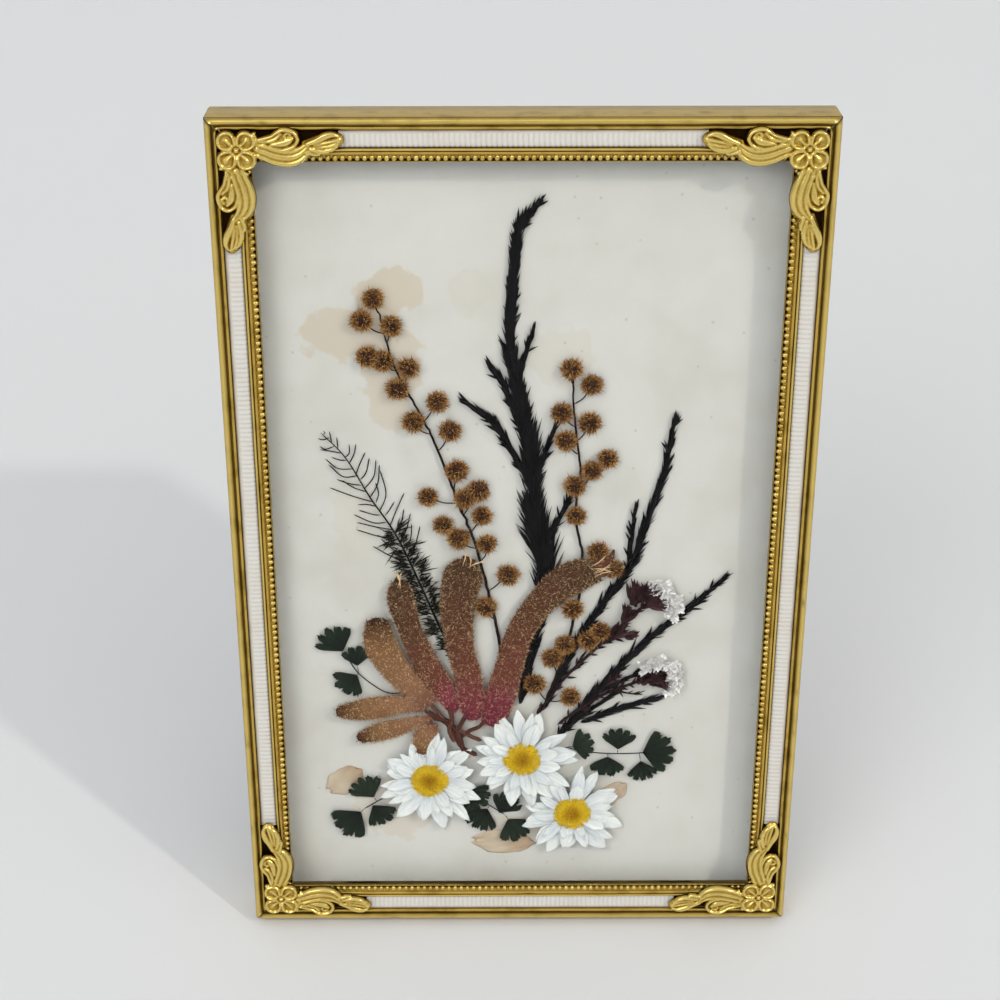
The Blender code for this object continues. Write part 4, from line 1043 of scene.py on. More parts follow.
# Each sprig's shoots as rows of u, v and width
SCALE_SPRIGS = {
    "tall": (
        ((0.0, 63.0, 2.0), (3.0, 80.0, 4.0), (6.0, 98.1, 8.0), (3.4, 116.1, 6.6), (2.0, 134.8, 5.6),
         (-0.4, 147.8, 4.2), (-2.8, 160.5, 3.4), (-2.4, 172.9, 2.8), (-1.7, 182.6, 2.6), (-0.8, 189.0, 2.2),
         (1.0, 192.2, 1.5), (2.8, 194.8, 0.6)),
        ((0.8, 137.0, 1.8), (-3.4, 149.0, 1.8), (-6.9, 155.2, 0.6)),
        ((1.4, 127.0, 1.8), (-6.0, 140.4, 2.0), (-12.8, 146.4, 0.6)),
        ((-1.4, 151.0, 1.6), (2.2, 163.6, 0.6)),
        ((2.4, 124.0, 1.8), (8.0, 140.1, 0.6)),
        ((4.6, 105.0, 2.0), (11.8, 121.5, 0.6)),
    ),
    "right_upper": (
        ((6.4, 62.0, 1.6), (13.7, 79.6, 2.2), (19.8, 91.0, 2.2), (27.0, 102.3, 2.2), (30.3, 113.3, 2.2),
         (34.5, 127.5, 1.6), (36.4, 140.4, 0.6)),
        ((26.6, 103.0, 1.2), (27.8, 117.4, 0.5)),
    ),
    "right_lower": (
        ((10.0, 53.4, 1.6), (14.0, 58.9, 3.2), (22.8, 70.8, 3.0), (32.6, 82.4, 2.0), (42.3, 91.0, 1.5),
         (49.6, 98.4, 0.5)),
        ((21.0, 67.0, 1.2), (31.0, 72.6, 0.5)),
        ((14.0, 58.0, 1.4), (24.0, 66.0, 0.5)),
    ),
}  # fmt: skip
SPRIG_T = 6.95
HEATH = (
    (-12.6, 66.0, 1.6), (-16.6, 76.7, 4.0), (-20.3, 85.4, 8.0), (-29.8, 109.4, 9.0), (-36.8, 121.6, 7.0),
    (-42.5, 132.3, 5.0), (-48.2, 138.9, 1.0),
)  # fmt: skip
NEEDLES = ((15.6, 57.6, 2.0), (25.0, 61.4, 2.4), (35.7, 64.8, 1.0))


def add_scale_sprig(build, shoots, per_mm, rng):
    """Shoots closely set with narrow pointed leaves, whose tips stand off as bristles."""
    for knots in shoots:
        line, run = smooth_line(knots, 0.5)
        spread = line[:, 2]
        centre = at_depth(line, SPRIG_T)
        forward = headings(centre)
        side = unit(np.cross(forward, ACROSS))
        add_stem(build, centre[::3], np.minimum(0.5, 0.15 + spread[::3] * 0.08), 0.3, 0.2)
        count = int(run[-1] * per_mm * (0.7 + spread.mean() / 5.0))
        at = rng.integers(0, len(line), count)
        hand = rng.uniform(-1.0, 1.0, count)
        length = (3.2 + spread[at] * 0.9) * rng.uniform(0.6, 1.25, count)
        half = spread[at] / 2
        roots = centre[at] + side[at] * (hand * half * 0.25)[:, None]
        roots[:, 2] += rng.uniform(-0.45, 0.3, count)
        slant = hand * half * 0.8 / length
        aims = forward[at] + side[at] * slant[:, None] + rng.normal(0.0, 0.05, (count, 3)) * (1, 1, 0.6)
        whorl = np.sin(run[at] * 0.9) > 0.55
        bristle = rng.uniform(size=count) < np.where(whorl, 0.2, 0.02)
        aims += side[at] * (np.sign(hand) * bristle * rng.uniform(0.25, 0.6, count))[:, None]
        length = np.where(bristle, np.minimum(length, 3.4), length)
        widths = rng.uniform(0.45, 0.8, count)
        add_blades(build, roots, aims, length, widths, 0.22, 0.02, rng, rng.uniform(0, 1, count))


def add_heath(build, rng):
    """A thin curved stem: dense short needles low on it, long fine ones in ranks near its tip."""
    line, run = smooth_line(HEATH, 0.4)
    centre = at_depth(line, SPRIG_T)
    forward = headings(centre)
    side = unit(np.cross(forward, ACROSS))
    share = run / run[-1]
    add_stem(build, centre[::3], np.interp(share[::3], (0, 1), (0.38, 0.12)), 0.2, 0.2)
    for hand in (-1.0, 1.0):
        ranks = np.arange(np.searchsorted(share, 0.5) + int(hand > 0) * 3, len(line) - 2, 6)
        reach = np.interp(share[ranks], (0.5, 0.7, 0.9, 1.0), (8.6, 8.8, 5.6, 1.6))
        for i, length in zip(ranks, reach * rng.uniform(0.55, 1.2, len(ranks))):
            aim = unit(forward[i] * rng.uniform(0.5, 1.0) + side[i] * hand)
            knee = centre[i] + aim * length * 0.5
            tip = knee + unit(aim + forward[i] * rng.uniform(0.0, 1.4)) * length * 0.55
            path = np.array((centre[i], knee, tip)) + rng.normal(0, 0.3, (3, 3)) * (1, 1, 0)
            add_stem(build, at_depth(smooth_line(path[:, :2], 0.7)[0], SPRIG_T), 0.15, 0.5, 0.3, 4)
    low = np.flatnonzero(share < 0.62)
    count = 620
    at = rng.choice(low, count)
    hand = rng.choice((-1.0, 1.0), count)
    spread = line[at, 2] / 2
    aims = forward[at] * rng.uniform(-0.3, 1.0, (count, 1))
    aims = aims + side[at] * (hand * rng.uniform(0.5, 1.2, count))[:, None]
    aims[:, 2] = rng.normal(0.0, 0.08, count)
    clump = 0.55 + 0.45 * np.sin(run[at] * 1.7 + hand) * np.sin(run[at] * 0.73)
    length = np.clip(spread * rng.uniform(0.7, 1.5, count) * clump, 1.4, 6.0)
    roots = centre[at] + side[at] * (hand * rng.uniform(0.0, 0.35, count) * spread)[:, None]
    add_blades(build, roots, aims, length, 0.42, 0.3, 0.0, rng, rng.uniform(0.0, 1.0, count))


# ---------------------------------------------------------------- rice flowers

# Each flower's stem with its side shoots, its clumps of bracts as (u, v, bearing, spread, length, count),
# and the arc that its white buds sit along
RICE = {
    "upper": (
        (((4.4, 60.0), (10.6, 70.0), (17.6, 78.0), (24.0, 84.6), (30.0, 91.0), (33.6, 94.0)),
         ((14.0, 74.0), (17.6, 80.4), (21.0, 84.0)), ((20.0, 80.4), (26.4, 83.6), (29.4, 84.4))),
        ((23.4, 83.6, 48.0, 26.0, 4.2, 34), (26.4, 88.2, 70.0, 34.0, 4.2, 38),
         (28.6, 93.0, 84.0, 26.0, 5.6, 44), (31.0, 93.8, 62.0, 26.0, 5.2, 34),
         (32.4, 92.6, 4.0, 26.0, 5.2, 44), (27.0, 83.4, 20.0, 26.0, 2.6, 16)),
        ((32.8, 98.6), (34.4, 97.8), (36.0, 96.2), (37.8, 94.8), (38.8, 93.0), (38.6, 91.0), (37.4, 89.4)),
    ),
    "lower": (
        (((9.6, 57.0), (15.0, 61.6), (22.0, 66.4), (30.0, 69.8), (33.4, 71.2)),
         ((18.0, 64.0), (22.4, 69.4), (26.4, 72.0)), ((24.0, 67.4), (28.4, 66.2), (31.0, 66.6))),
        ((31.0, 70.0, 60.0, 40.0, 3.4, 34), (33.0, 70.2, 15.0, 40.0, 4.6, 40),
         (33.4, 71.0, 60.0, 40.0, 3.8, 38), (34.6, 69.8, 0.0, 36.0, 4.4, 36),
         (36.0, 70.6, 50.0, 40.0, 3.0, 28)),
        ((30.8, 73.6), (32.8, 75.2), (35.4, 75.6), (37.6, 74.4), (39.2, 72.0), (39.6, 69.6), (38.2, 67.8)),
    ),
}  # fmt: skip


RICE_STEM_T = 6.5
RICE_BRACT_T = 6.0
RICE_BUD_T = 5.7
BUD_BRACTS = 16


def add_rice_flower(build, shoots, clumps, rng):
    """A forked woody stem with clumps of long pointed bracts, and a few single leaves below them."""
    for number, shoot in enumerate(shoots):
        line, run = smooth_line(shoot, 0.6)
        centre = at_depth(line, RICE_STEM_T)
        add_stem(build, centre[::2], 0.42 if number == 0 else 0.24, 0.1, 0.2)
        count = int(run[-1] * 1.1)
        at = rng.integers(0, len(line), count)
        forward = headings(centre)[at]
        side = np.cross(forward, ACROSS) * rng.normal(0.0, 0.6, (count, 1))
        add_blades(build, centre[at], forward + side, rng.uniform(1.6, 3.0, count), 0.7, 0.25, 0.05, rng, 0.3)
    for u, v, bearing, spread, length, count in clumps:
        turn = np.radians(bearing + rng.normal(0.0, spread * 0.6, count))
        lift = rng.normal(-0.05, 0.16, count)
        aims = stacked(np.cos(turn), np.sin(turn), lift)
        roots = np.array((u, v, RICE_BRACT_T)) + rng.normal(0.0, 0.5, (count, 3)) * (1, 1, 0.35)
        lengths = length * rng.uniform(0.55, 1.05, count)
        widths, ageing = rng.uniform(0.8, 1.5, count), rng.uniform(0, 1, count)
        add_blades(build, roots, aims, lengths, widths, 0.3, 0.02, rng, ageing)


def add_rice_buds(build, arc, rng):
    """Small white papery everlasting buds crowded along an arc, each a tuft of blunt crumpled bracts."""
    line, _ = smooth_line(arc, 0.2)
    for u, v in line[:, :2]:
        spot = np.array((u, v, RICE_BUD_T)) + rng.normal(0.0, 0.9, 3) * (1, 1, 0.2)
        aims = unit(rng.normal(0.0, 1.0, (BUD_BRACTS, 3)) * (1.0, 1.0, 0.5) - (0.0, 0.0, 0.3))
        lengths = rng.uniform(0.7, 1.3, BUD_BRACTS)
        ageing = rng.uniform(0, 1, BUD_BRACTS)
        add_blades(build, spot + aims * 0.1, aims, lengths, 0.8, 0.25, 0.1, rng, ageing)


# ---------------------------------------------------------------- maidenhair

# Each frond's stem, and its leaflets as u, v and radius
FRONDS = {
    "upper_left": (
        ((-30.0, 66.4), (-34.7, 66.8), (-41.0, 72.0), (-44.4, 78.0)),
        ((-46.8, 81.8, 4.5), (-41.6, 77.2, 3.4), (-43.7, 69.6, 3.9)),
    ),
    "right": (
        ((11.6, 49.8), (20.0, 48.2), (29.0, 48.0), (35.0, 48.6)),
        ((16.2, 50.9, 3.4), (25.5, 52.4, 3.9), (22.6, 44.2, 3.6), (31.8, 42.9, 3.6), (35.7, 48.8, 4.9)),
    ),
    "lower_left": (
        ((-30.0, 36.4), (-35.0, 34.8), (-41.0, 31.0)),
        ((-40.1, 37.6, 4.3), (-44.6, 27.2, 5.0), (-36.9, 29.6, 3.9)),
    ),
    "bottom_centre": (
        ((-15.4, 37.0), (-10.0, 33.4), (-4.0, 29.0)),
        ((-11.8, 34.6, 4.2), (-10.3, 28.1, 4.2), (-3.9, 32.4, 4.0), (-1.3, 24.9, 4.2)),
    ),
}
FERN_T = 6.6


def add_fan(build, middle, radius, root, rng):
    """A maidenhair leaflet: a wedge that fans out from its stalk to a lobed, finely toothed edge."""
    aim = math.atan2(middle[1] - root[1], middle[0] - root[0])
    spread = math.radians(rng.uniform(50.0, 68.0))
    bearing = np.linspace(-spread, spread, 41)
    lobes = int(rng.integers(4, 6))
    phase = (bearing / spread * 0.5 + 0.5) * lobes
    notch = np.abs(np.sin(math.pi * phase)) ** 0.35
    teeth = 1.0 + 0.018 * np.sin(phase * math.pi * 7)
    length = radius * 1.7 * (0.76 + 0.24 * notch) * teeth * rng.uniform(0.94, 1.06, 41)
    length *= np.cos(bearing / spread * 0.75) ** 0.4
    rings = np.linspace(0.03, 1.0, 8)[:, None]
    start = np.array(middle[:2]) - radius * 0.8 * np.array((math.cos(aim), math.sin(aim)))
    u = start[0] + rings * length * np.cos(aim + bearing)
    v = start[1] + rings * length * np.sin(aim + bearing)
    ripple = 0.12 * np.sin(phase * math.pi * 2 + 1.0) * rings**2 + rng.normal(0.0, 0.02, (8, 41))
    curl = 0.35 * rng.uniform(-0.3, 1.0) * rings**3
    t = FERN_T - ripple - curl
    points = stacked(u, v, t)
    lie = stacked(rings * length, bearing * 6.0, 0.0)
    add_sheet(build, points, 0.12, np.broadcast_to(rings, t.shape), rng.uniform(), lie)
    return start


def add_sheet(build, points, thick, ageing, fleck, lie):
    """A closed thin sheet from a grid of points for its front, thick mm deep."""
    rows, columns = points.shape[:2]
    size = rows * columns
    quads = grid_faces(rows, columns)
    index = np.arange(size).reshape(rows, columns)
    loop = np.concatenate((index[0], index[1:, -1], index[-1, -2::-1], index[-2:0:-1, 0]))
    after = np.roll(loop, -1)
    walls = np.column_stack((after, loop, loop + size, after + size))
    both = np.concatenate((points.reshape(-1, 3), points.reshape(-1, 3) + ACROSS * thick))
    faces = [quads, quads[:, ::-1] + size, walls]
    build.add(both, faces, np.tile(np.ravel(ageing), 2), fleck, np.tile(lie.reshape(-1, 3), (2, 1)))


def add_frond(build, stem, leaflets, rng):
    line, _ = smooth_line(stem, 0.8)
    line = at_depth(line, FERN_T + 0.2)
    add_stem(build, line, 0.16, 0.0, 0.1)
    for u, v, radius in leaflets:
        root = line[nearest(line, (u, v))]
        if math.hypot(root[0] - u, root[1] - v) < radius * 0.7:
            root = line[max(0, nearest(line, (u, v)) - 6)]
        start = add_fan(build, (u, v), radius, root[:2], rng)
        stalk = np.array((root[:2], (root[:2] + start) / 2, start))
        stalk = at_depth(stalk, FERN_T + np.array((0.2, 0.15, 0.0)))
        add_stem(build, stalk, 0.12, 0.0, 0.1)


# ---------------------------------------------------------------- daisies

# Each daisy's middle, the reach and number of its bracts, its depth and its turn
DAISIES = {
    "left": ((-23.5, 40.7), 15.4, 13, 5.25, 0.15),
    "middle": ((0.5, 47.4), 15.6, 14, 4.95, 0.30),
    "right": ((13.7, 30.5), 14.6, 13, 5.2, 0.05),
}
# Between the glass and the plants under the daisies
BRACT_T = (4.36, 6.4)
BRACT_ALONG = np.array((0.0, 0.15, 0.4, 0.62, 0.82, 0.94, 1.0))
BRACT_WIDTH = np.array((0.42, 0.6, 0.92, 1.0, 0.66, 0.28, 0.03))


def add_bract(build, middle, turn, start, reach, width, t, lift, rng):
    """One papery pointed bract with pleats, a twist and a lifted crumpled tip."""
    rows, columns = 15, 11
    along = np.linspace(0.0, 1.0, rows)[:, None]
    across = np.linspace(-1.0, 1.0, columns)
    half = np.interp(along, BRACT_ALONG, BRACT_WIDTH) * width / 2
    half = half * (1.0 + 0.06 * np.sin(along * 25.0 + rng.uniform(0, 6)))
    bend = rng.normal(0.0, 0.05) * reach
    x = start + (reach - start) * along
    y = half * across + bend * along**2
    fold = rng.choice((-1.0, 1.0)) * rng.uniform(0.1, 0.3)
    wave = np.cos(across * math.pi * rng.uniform(2.2, 3.4) + rng.uniform(0, 6))
    pleat = 0.09 * wave * np.sin(along * math.pi)
    twist = rng.normal(0.0, 0.16) * across * along
    crumple = np.interp(along[:, 0] * 8, np.arange(9), rng.normal(0.0, 0.07, 9))[:, None]
    depth = t - fold * np.abs(across) * half / 2 - pleat - twist - crumple - lift * along**1.5
    u = middle[0] + x * math.cos(turn) - y * math.sin(turn)
    v = middle[1] + x * math.sin(turn) + y * math.cos(turn)
    points = stacked(u, v, np.clip(depth, *BRACT_T))
    lie = stacked(x, y, rng.uniform(0, 50))
    tone = np.broadcast_to(np.interp(along, (0.0, 0.35, 0.8, 1.0), (0.7, 0.3, 0.0, 0.1)), depth.shape)
    add_sheet(build, points, 0.05, tone, rng.uniform(), lie)


def add_daisy(build, middle, reach, count, t, turn, rng):
    """Three rows of bracts, the back row longest."""
    rows = (
        (count, 1.0, 4.6, 0.28, 0.10),
        (count - 1, 0.9, 4.4, 0.10, 0.18),
        (count - 3, 0.72, 3.6, -0.08, 0.22),
    )
    for row, (number, share, width, back, lift) in enumerate(rows):
        for i in range(number):
            angle = turn + (i + 0.5 * row + rng.normal(0.0, 0.2)) * 2 * math.pi / number
            length = reach * share * rng.uniform(0.76, 1.07)
            add_bract(build, middle, angle, 2.6, length, width * rng.uniform(0.6, 1.15), t + back, lift, rng)


def add_daisy_disc(build, middle, radius, t, florets, rng):
    """The disc: a low cushion set with florets in a spiral, open and yellow outside, closed within."""
    rings, sides = 9, 32
    turn = full_turn(sides)
    share = np.linspace(1.0, 0.02, rings)[:, None]
    out = radius * share
    height = 0.42 * (1.0 - share**2) - 0.14 * np.exp(-((share / 0.3) ** 2))
    u, v = middle[0] + out * np.cos(turn), middle[1] + out * np.sin(turn)
    cushion = stacked(u, v, t + 0.3 - height)
    floor = cushion[:1] + ACROSS * 0.25
    points = np.concatenate((floor, cushion))
    tone = np.concatenate((np.ones((1, sides)), np.broadcast_to(share, (rings, sides))))
    build.add(points, [grid_faces(rings + 1, sides, True), *end_caps(rings + 1, sides)], tone, 0.2)
    order = np.arange(florets) + 0.5
    out = np.sqrt(order / florets)
    bearing = order * math.radians(137.508)
    wobble = rng.normal(0.0, 0.07, florets)
    spots = np.column_stack(
        (
            middle[0] + radius * out * np.cos(bearing + wobble),
            middle[1] + radius * out * np.sin(bearing + wobble),
            t + 0.3 - 0.42 * (1.0 - out**2) + 0.14 * np.exp(-((out / 0.3) ** 2)),
        )
    )
    for spot, edge in zip(spots, out):
        petals = 5
        spin = rng.uniform(0, 6) + np.arange(petals) * 2 * math.pi / petals
        open_by = 0.3 + 0.9 * edge
        aims = np.column_stack((np.cos(spin) * open_by, np.sin(spin) * open_by, np.full(petals, -0.9)))
        length = rng.uniform(0.28, 0.42) + 0.12 * edge
        add_hairs(build, np.repeat(spot[None], petals, 0), aims, length, 0.2, 0.15, rng, edge)


# ---------------------------------------------------------------- loose petals

# Each petal's root, tip and width
LOOSE_PETALS = {
    "left": ((-50.2, 36.4), (-41.6, 42.6), 7.6),
    "bottom": ((-12.6, 20.6), (3.4, 19.6), 7.0),
    "right": ((19.0, 31.0), (27.6, 38.0), 6.4),
}


LOOSE_PETAL_T = 7.25
# How far along a petal, and the share of its width there
PETAL_OUTLINE = ((0, 0.08, 0.3, 0.6, 0.85, 0.96, 1), (0.25, 0.5, 0.95, 1, 0.8, 0.5, 0.2))


def add_loose_petal(build, root, tip, width, rng):
    """A fallen petal pressed flat against the card, torn and cockled at its edge."""
    rows, columns = 24, 19
    along = np.linspace(0.0, 1.0, rows)[:, None]
    across = np.linspace(-1.0, 1.0, columns)
    span = np.array(tip) - np.array(root)
    length = float(np.hypot(*span))
    forward, sideways = span / length, np.array((-span[1], span[0])) / length
    half = width / 2 * np.interp(along, *PETAL_OUTLINE)
    ragged = 1.0 + np.interp(along, np.linspace(0, 1, 12), rng.normal(0.0, 0.07, 12)) * np.abs(across) ** 3
    x = along * length + 0.25 * np.cos(across * 2.0) * length * 0.2
    y = half * across * ragged
    cockle = 0.08 * np.sin(across * 5 + along * 6) + 0.06 * np.sin(across * 9 - along * 14)
    u = root[0] + forward[0] * x + sideways[0] * y
    v = root[1] + forward[1] * x + sideways[1] * y
    points = stacked(u, v, LOOSE_PETAL_T + cockle)
    lie = stacked(x, y, 0.0)
    add_sheet(build, points, 0.06, np.broadcast_to(along, x.shape) ** 0.7, rng.uniform(), lie)


# ---------------------------------------------------------------- settings


def hex_property(name, colour, description):
    return StringProperty(name=name, default=colour, description=description, maxlen=7)


class FlowerFrameSizes(bpy.types.PropertyGroup):
    """Sizes of the frame's small repeated details."""

    pearl_pitch: FloatProperty(
        name="Bead Pitch", default=1.62, min=1.2, unit="NONE",
        description="Distance between the beads by the sight edge, in mm",
    )  # fmt: skip
    cord_pitch: FloatProperty(
        name="Cord Pitch", default=1.17, min=0.5, unit="NONE",
        description="Distance between the cords of the ribbon, in mm",
    )  # fmt: skip
    knocks: IntProperty(name="Knocks", default=9, min=0, description="Small dents in each rail")
    relief: FloatProperty(
        name="Relief", default=1.25, min=0.3, subtype="FACTOR",
        description="Height of the corner ornaments' relief over the die's own",
    )  # fmt: skip
    relief_step: FloatProperty(
        name="Relief Step", default=0.17, min=0.1,
        description="Spacing of the mesh of the corner ornaments, in mm",
    )  # fmt: skip


class FlowerFrameColours(bpy.types.PropertyGroup):
    """Colours of the frame's metal, ribbon, card and board, as sRGB hex values."""

    gold: hex_property("Gold", "#D0AF57", "Clean lacquered brass plate")
    # Bright Gold is the painted highlight on the bead crests and the ornaments' ridges, and the colour of
    # random brighter beads
    bright_gold: hex_property("Bright Gold", "#E8CF7C", "Brass rubbed bright on the ridges")
    old_gold: hex_property("Old Gold", "#A88838", "Brass that has dulled")
    # Recess is the dark brown of painted shade in grooves and hollows, and of old polish and dip in them
    recess: hex_property("Recess", "#33200C", "Old polish and dip in the recesses")
    ribbon: hex_property("Ribbon", "#E4E3DF", "The ribbon's cords")
    ribbon_shade: hex_property("Ribbon Shade", "#D8CEBF", "The ribbon where it has yellowed")
    # Ribbon Valley is the painted shade between the ribbon's cords
    ribbon_valley_shade: hex_property("Ribbon Valley", "#A39C92", "Between the ribbon's cords")
    card: hex_property("Card", "#CBCAC3", "The mount card")
    card_light: hex_property("Card Light", "#CFCEC8", "Lighter mottling of the card")
    card_dull: hex_property("Card Dull", "#C5C2B9", "Duller mottling of the card")
    stain: hex_property("Stain", "#BC9F70", "Old glue stains on the card")
    speck: hex_property("Speck", "#9C9284", "Specks in the card")
    board: hex_property("Board", "#3B2C20", "Paper face of the backing board and the strut")
    board_dark: hex_property("Board Dark", "#241A12", "Darker fibres of the board")
    board_scuff: hex_property("Board Scuff", "#6A5540", "Scuffs on the board")
    bract: hex_property("Bract", "#E2E5E1", "White daisy bracts")
    # Bract Fold is painted shade, a cool grey, in the folds of the bracts
    bract_fold_shade: hex_property("Bract Fold", "#C4CACE", "Cool folds of the bracts")
    bract_base: hex_property("Bract Base", "#C3BCA4", "Base of the bracts by the disc")


class FlowerFrameBouquet(bpy.types.PropertyGroup):
    """How finely the dried flowers are made."""

    paw_hair: FloatProperty(
        name="Paw Hair", default=0.85, min=0.2, description="Length of the kangaroo paws' hairs, in mm"
    )
    paw_density: FloatProperty(
        name="Paw Density", default=15.0, min=1.0, description="Hairs on a square millimetre of a paw"
    )
    head_radius: FloatProperty(
        name="Wattle Radius", default=3.1, min=1.0, description="Radius of a wattle flower head, in mm"
    )
    stamens: IntProperty(
        name="Stamens", default=460, min=20, description="Stamens that show on a wattle flower head"
    )
    florets: IntProperty(name="Florets", default=420, min=50, description="Florets in a daisy's disc")
    disc_radius: FloatProperty(
        name="Disc Radius", default=4.9, min=2.0, description="Radius of a daisy's disc, in mm"
    )
    scales: FloatProperty(
        name="Scales", default=6.5, min=1.0, description="Leaves on a millimetre of a dark sprig"
    )


class FlowerFrameStage(bpy.types.PropertyGroup):
    """Floor, light and camera."""

    floor: hex_property("Floor", "#EDEDEC", "The pale floor and backdrop")
    key_power: FloatProperty(name="Key", default=29.0, min=0.0, description="Key light's power, in watts")
    fill_power: FloatProperty(name="Fill", default=18.0, min=0.0, description="Fill light's power, in watts")
    sky: FloatProperty(name="Sky", default=0.79, min=0.0, description="Strength of the light from all round")
    lens: FloatProperty(
        name="Lens", default=70.2, min=10.0, unit="CAMERA", description="Focal length on a 36 mm sensor"
    )
    camera_place: FloatVectorProperty(
        name="Camera", default=(-0.00645, -0.3701, 0.4205), subtype="TRANSLATION", precision=5,
        description="Where the camera stands",
    )  # fmt: skip
    camera_aim: FloatVectorProperty(
        name="Aim", default=(0.0027, 0.7721, -0.6355), subtype="DIRECTION", precision=5,
        description="Which way the camera looks",
    )  # fmt: skip


# ---------------------------------------------------------------- stage and operators

# The floor's section in metres, out from the middle and up
FLOOR_PROFILE = (
    (0.02, 0.0), (0.3, 0.0), (0.8, 0.0), (1.6, 0.0), (2.4, 0.05), (2.9, 0.25), (3.2, 0.6), (3.3, 1.2),
    (3.35, 2.2),
)  # fmt: skip
# The room's colour from straight below to straight above
ROOM_GLOW = ((0.3, "#989898"), (0.52, "#565A60"), (0.66, "#BEC4CC"), (1.0, "#FAFCFF"))


class FLOWERFRAME_OT_rails(bpy.types.Operator):
    """Sweep the four moulding rails with their beading and tabs"""

    bl_idname = "flowerframe.rails"
    bl_label = "Moulding Rails"

    def execute(self, context):
        sizes = context.scene.flower_sizes
        material = brass_plated_moulding(context.scene.flower_colours)
        for seed, side in enumerate(SIDES, 100):
            rng = np.random.default_rng(seed)
            build = Build()
            add_moulding(build, side, sizes.knocks, rng)
            add_pearls(build, side, sizes.pearl_pitch, rng)
            for end in (-1, 1):
                middle = end * TAB_SHARE * rail_length(side)
                add_tab(build, side, (middle - TAB_LENGTH / 2, middle + TAB_LENGTH / 2), TAB_W, TAB_T)
            make_piece(f"gilt_rail_{side}", build, material, "gilt_moulding", f"rail_{side}")
        return {"FINISHED"}


class FLOWERFRAME_OT_ornaments(bpy.types.Operator):
    """Stamp the four corner ornaments in relief"""

    bl_idname = "flowerframe.ornaments"
    bl_label = "Corner Ornaments"

    def execute(self, context):
        sizes = context.scene.flower_sizes
        material = stamped_brass(context.scene.flower_colours)
        points, faces, shade_and_dirt = ornament_mesh(sizes.relief_step, sizes.relief)
        a, b, t = points.T
        for row, v in (("top", HEIGHT - b), ("bottom", b)):
            for column, u in (("left", a - HALF_WIDTH), ("right", HALF_WIDTH - a)):
                # two of the corners are mirror images, so their faces run the other way round
                mirrored = (row == "bottom") != (column == "left")
                build = Build()
                faces_out = [quads[:, ::-1] if mirrored else quads for quads in faces]
                build.add(np.column_stack((u, v, t)), faces_out, shade_and_dirt)
                corner, node = f"brass_corner_{row}_{column}", f"corner_ornament_{row}_{column}"
                make_piece(corner, build, material, "stamped_brass", node)
        return {"FINISHED"}


class FLOWERFRAME_OT_ribbons(bpy.types.Operator):
    """Lay the corded ribbons in the rails' channel"""

    bl_idname = "flowerframe.ribbons"
    bl_label = "Ribbon Inlays"

    def execute(self, context):
        material = corded_ribbon(context.scene.flower_colours)
        for seed, side in enumerate(SIDES, 200):
            build = Build()
            add_ribbon(build, side, context.scene.flower_sizes.cord_pitch, np.random.default_rng(seed))
            make_piece(f"corded_ribbon_{side}", build, material, "ribbed_ribbon", f"ribbon_inlay_{side}")
        return {"FINISHED"}


class FLOWERFRAME_OT_sheets(bpy.types.Operator):
    """Finish the glass, the mount card, the backing board and the easel back"""

    bl_idname = "flowerframe.sheets"
    bl_label = "Glass, Card and Easel"

    def execute(self, context):
        colours = context.scene.flower_colours
        rivets = [f"{plate}_rivet_{hand}" for plate in ("plate", "strut") for hand in ("left", "right")]
        for material, nodes in (
            (fibre_board(colours), ("backing_board", "strut")),
            (brassed_steel(colours), ("hinge_plate", "hinge_pin", "strut_hinge_leaf", *rivets)),
            (coated_picture_glass(), ("glass_pane",)),
            (mount_card_paper(colours), ("mount_card",)),
        ):
            for node in nodes:
                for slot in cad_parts[node].material_slots:
                    slot.material = material
        return {"FINISHED"}


class FLOWERFRAME_OT_paws(bpy.types.Operator):
    """Grow the seven kangaroo paw flowers and their stem"""

    bl_idname = "flowerframe.paws"
    bl_label = "Kangaroo Paws"

    def execute(self, context):
        bouquet = context.scene.flower_bouquet
        # Kangaroo paw, air dried: felted wool that catches light on its tips, wine red at the base
        red = dried_plant(
            "kangaroo_paw_wool_red",
            ((0.0, "#6A2034"), (0.14, "#76303C"), (0.28, "#6A3A2E"), (0.6, "#5A3826"), (1.0, "#4A3220")),
            "#F4D2A0", 1.0, 0.5, 0.85, 0.5,
        )  # fmt: skip
        # The older paws have faded to straw, with brown mouths
        straw = dried_plant(
            "kangaroo_paw_wool_straw",
            ((0.0, "#704438"), (0.25, "#8C6448"), (0.7, "#86603E"), (0.88, "#664428"), (1.0, "#402414")),
            "#F4DAAC", 1.0, 0.5, 0.85, 0.5,
        )  # fmt: skip
        # The forked stalk has lost its wool: bare, ridged and red brown
        stalk = dried_plant(
            "kangaroo_paw_stalk", ((0.0, "#3A2018"), (1.0, "#5A342A")), "#80584A", 0.4, 0.6, 0.7, 0.6
        )
        for number, knots in enumerate(PAWS):
            rng = np.random.default_rng(300 + number)
            build = Build()
            add_paw(build, knots, bouquet.paw_density, bouquet.paw_hair, rng)
            if number < len(PAW_MOUTHS):
                add_paw_mouth(build, knots, PAW_MOUTHS[number], rng)
            wool, node = red if number < RED_PAWS else straw, f"kangaroo_paw_flower_{number + 1}"
            make_piece(f"dried_kangaroo_paw_{number + 1}", build, wool, "paw_fur", node)
        build = Build()
        for number, path in enumerate(PAW_STEMS):
            add_paw_stem(build, path, PAW_STEM_T - 0.12 * (number % 3), np.random.default_rng(330 + number))
        make_piece("dried_kangaroo_paw_stem", build, stalk, "dried_stem", "kangaroo_paw_stem")
        return {"FINISHED"}


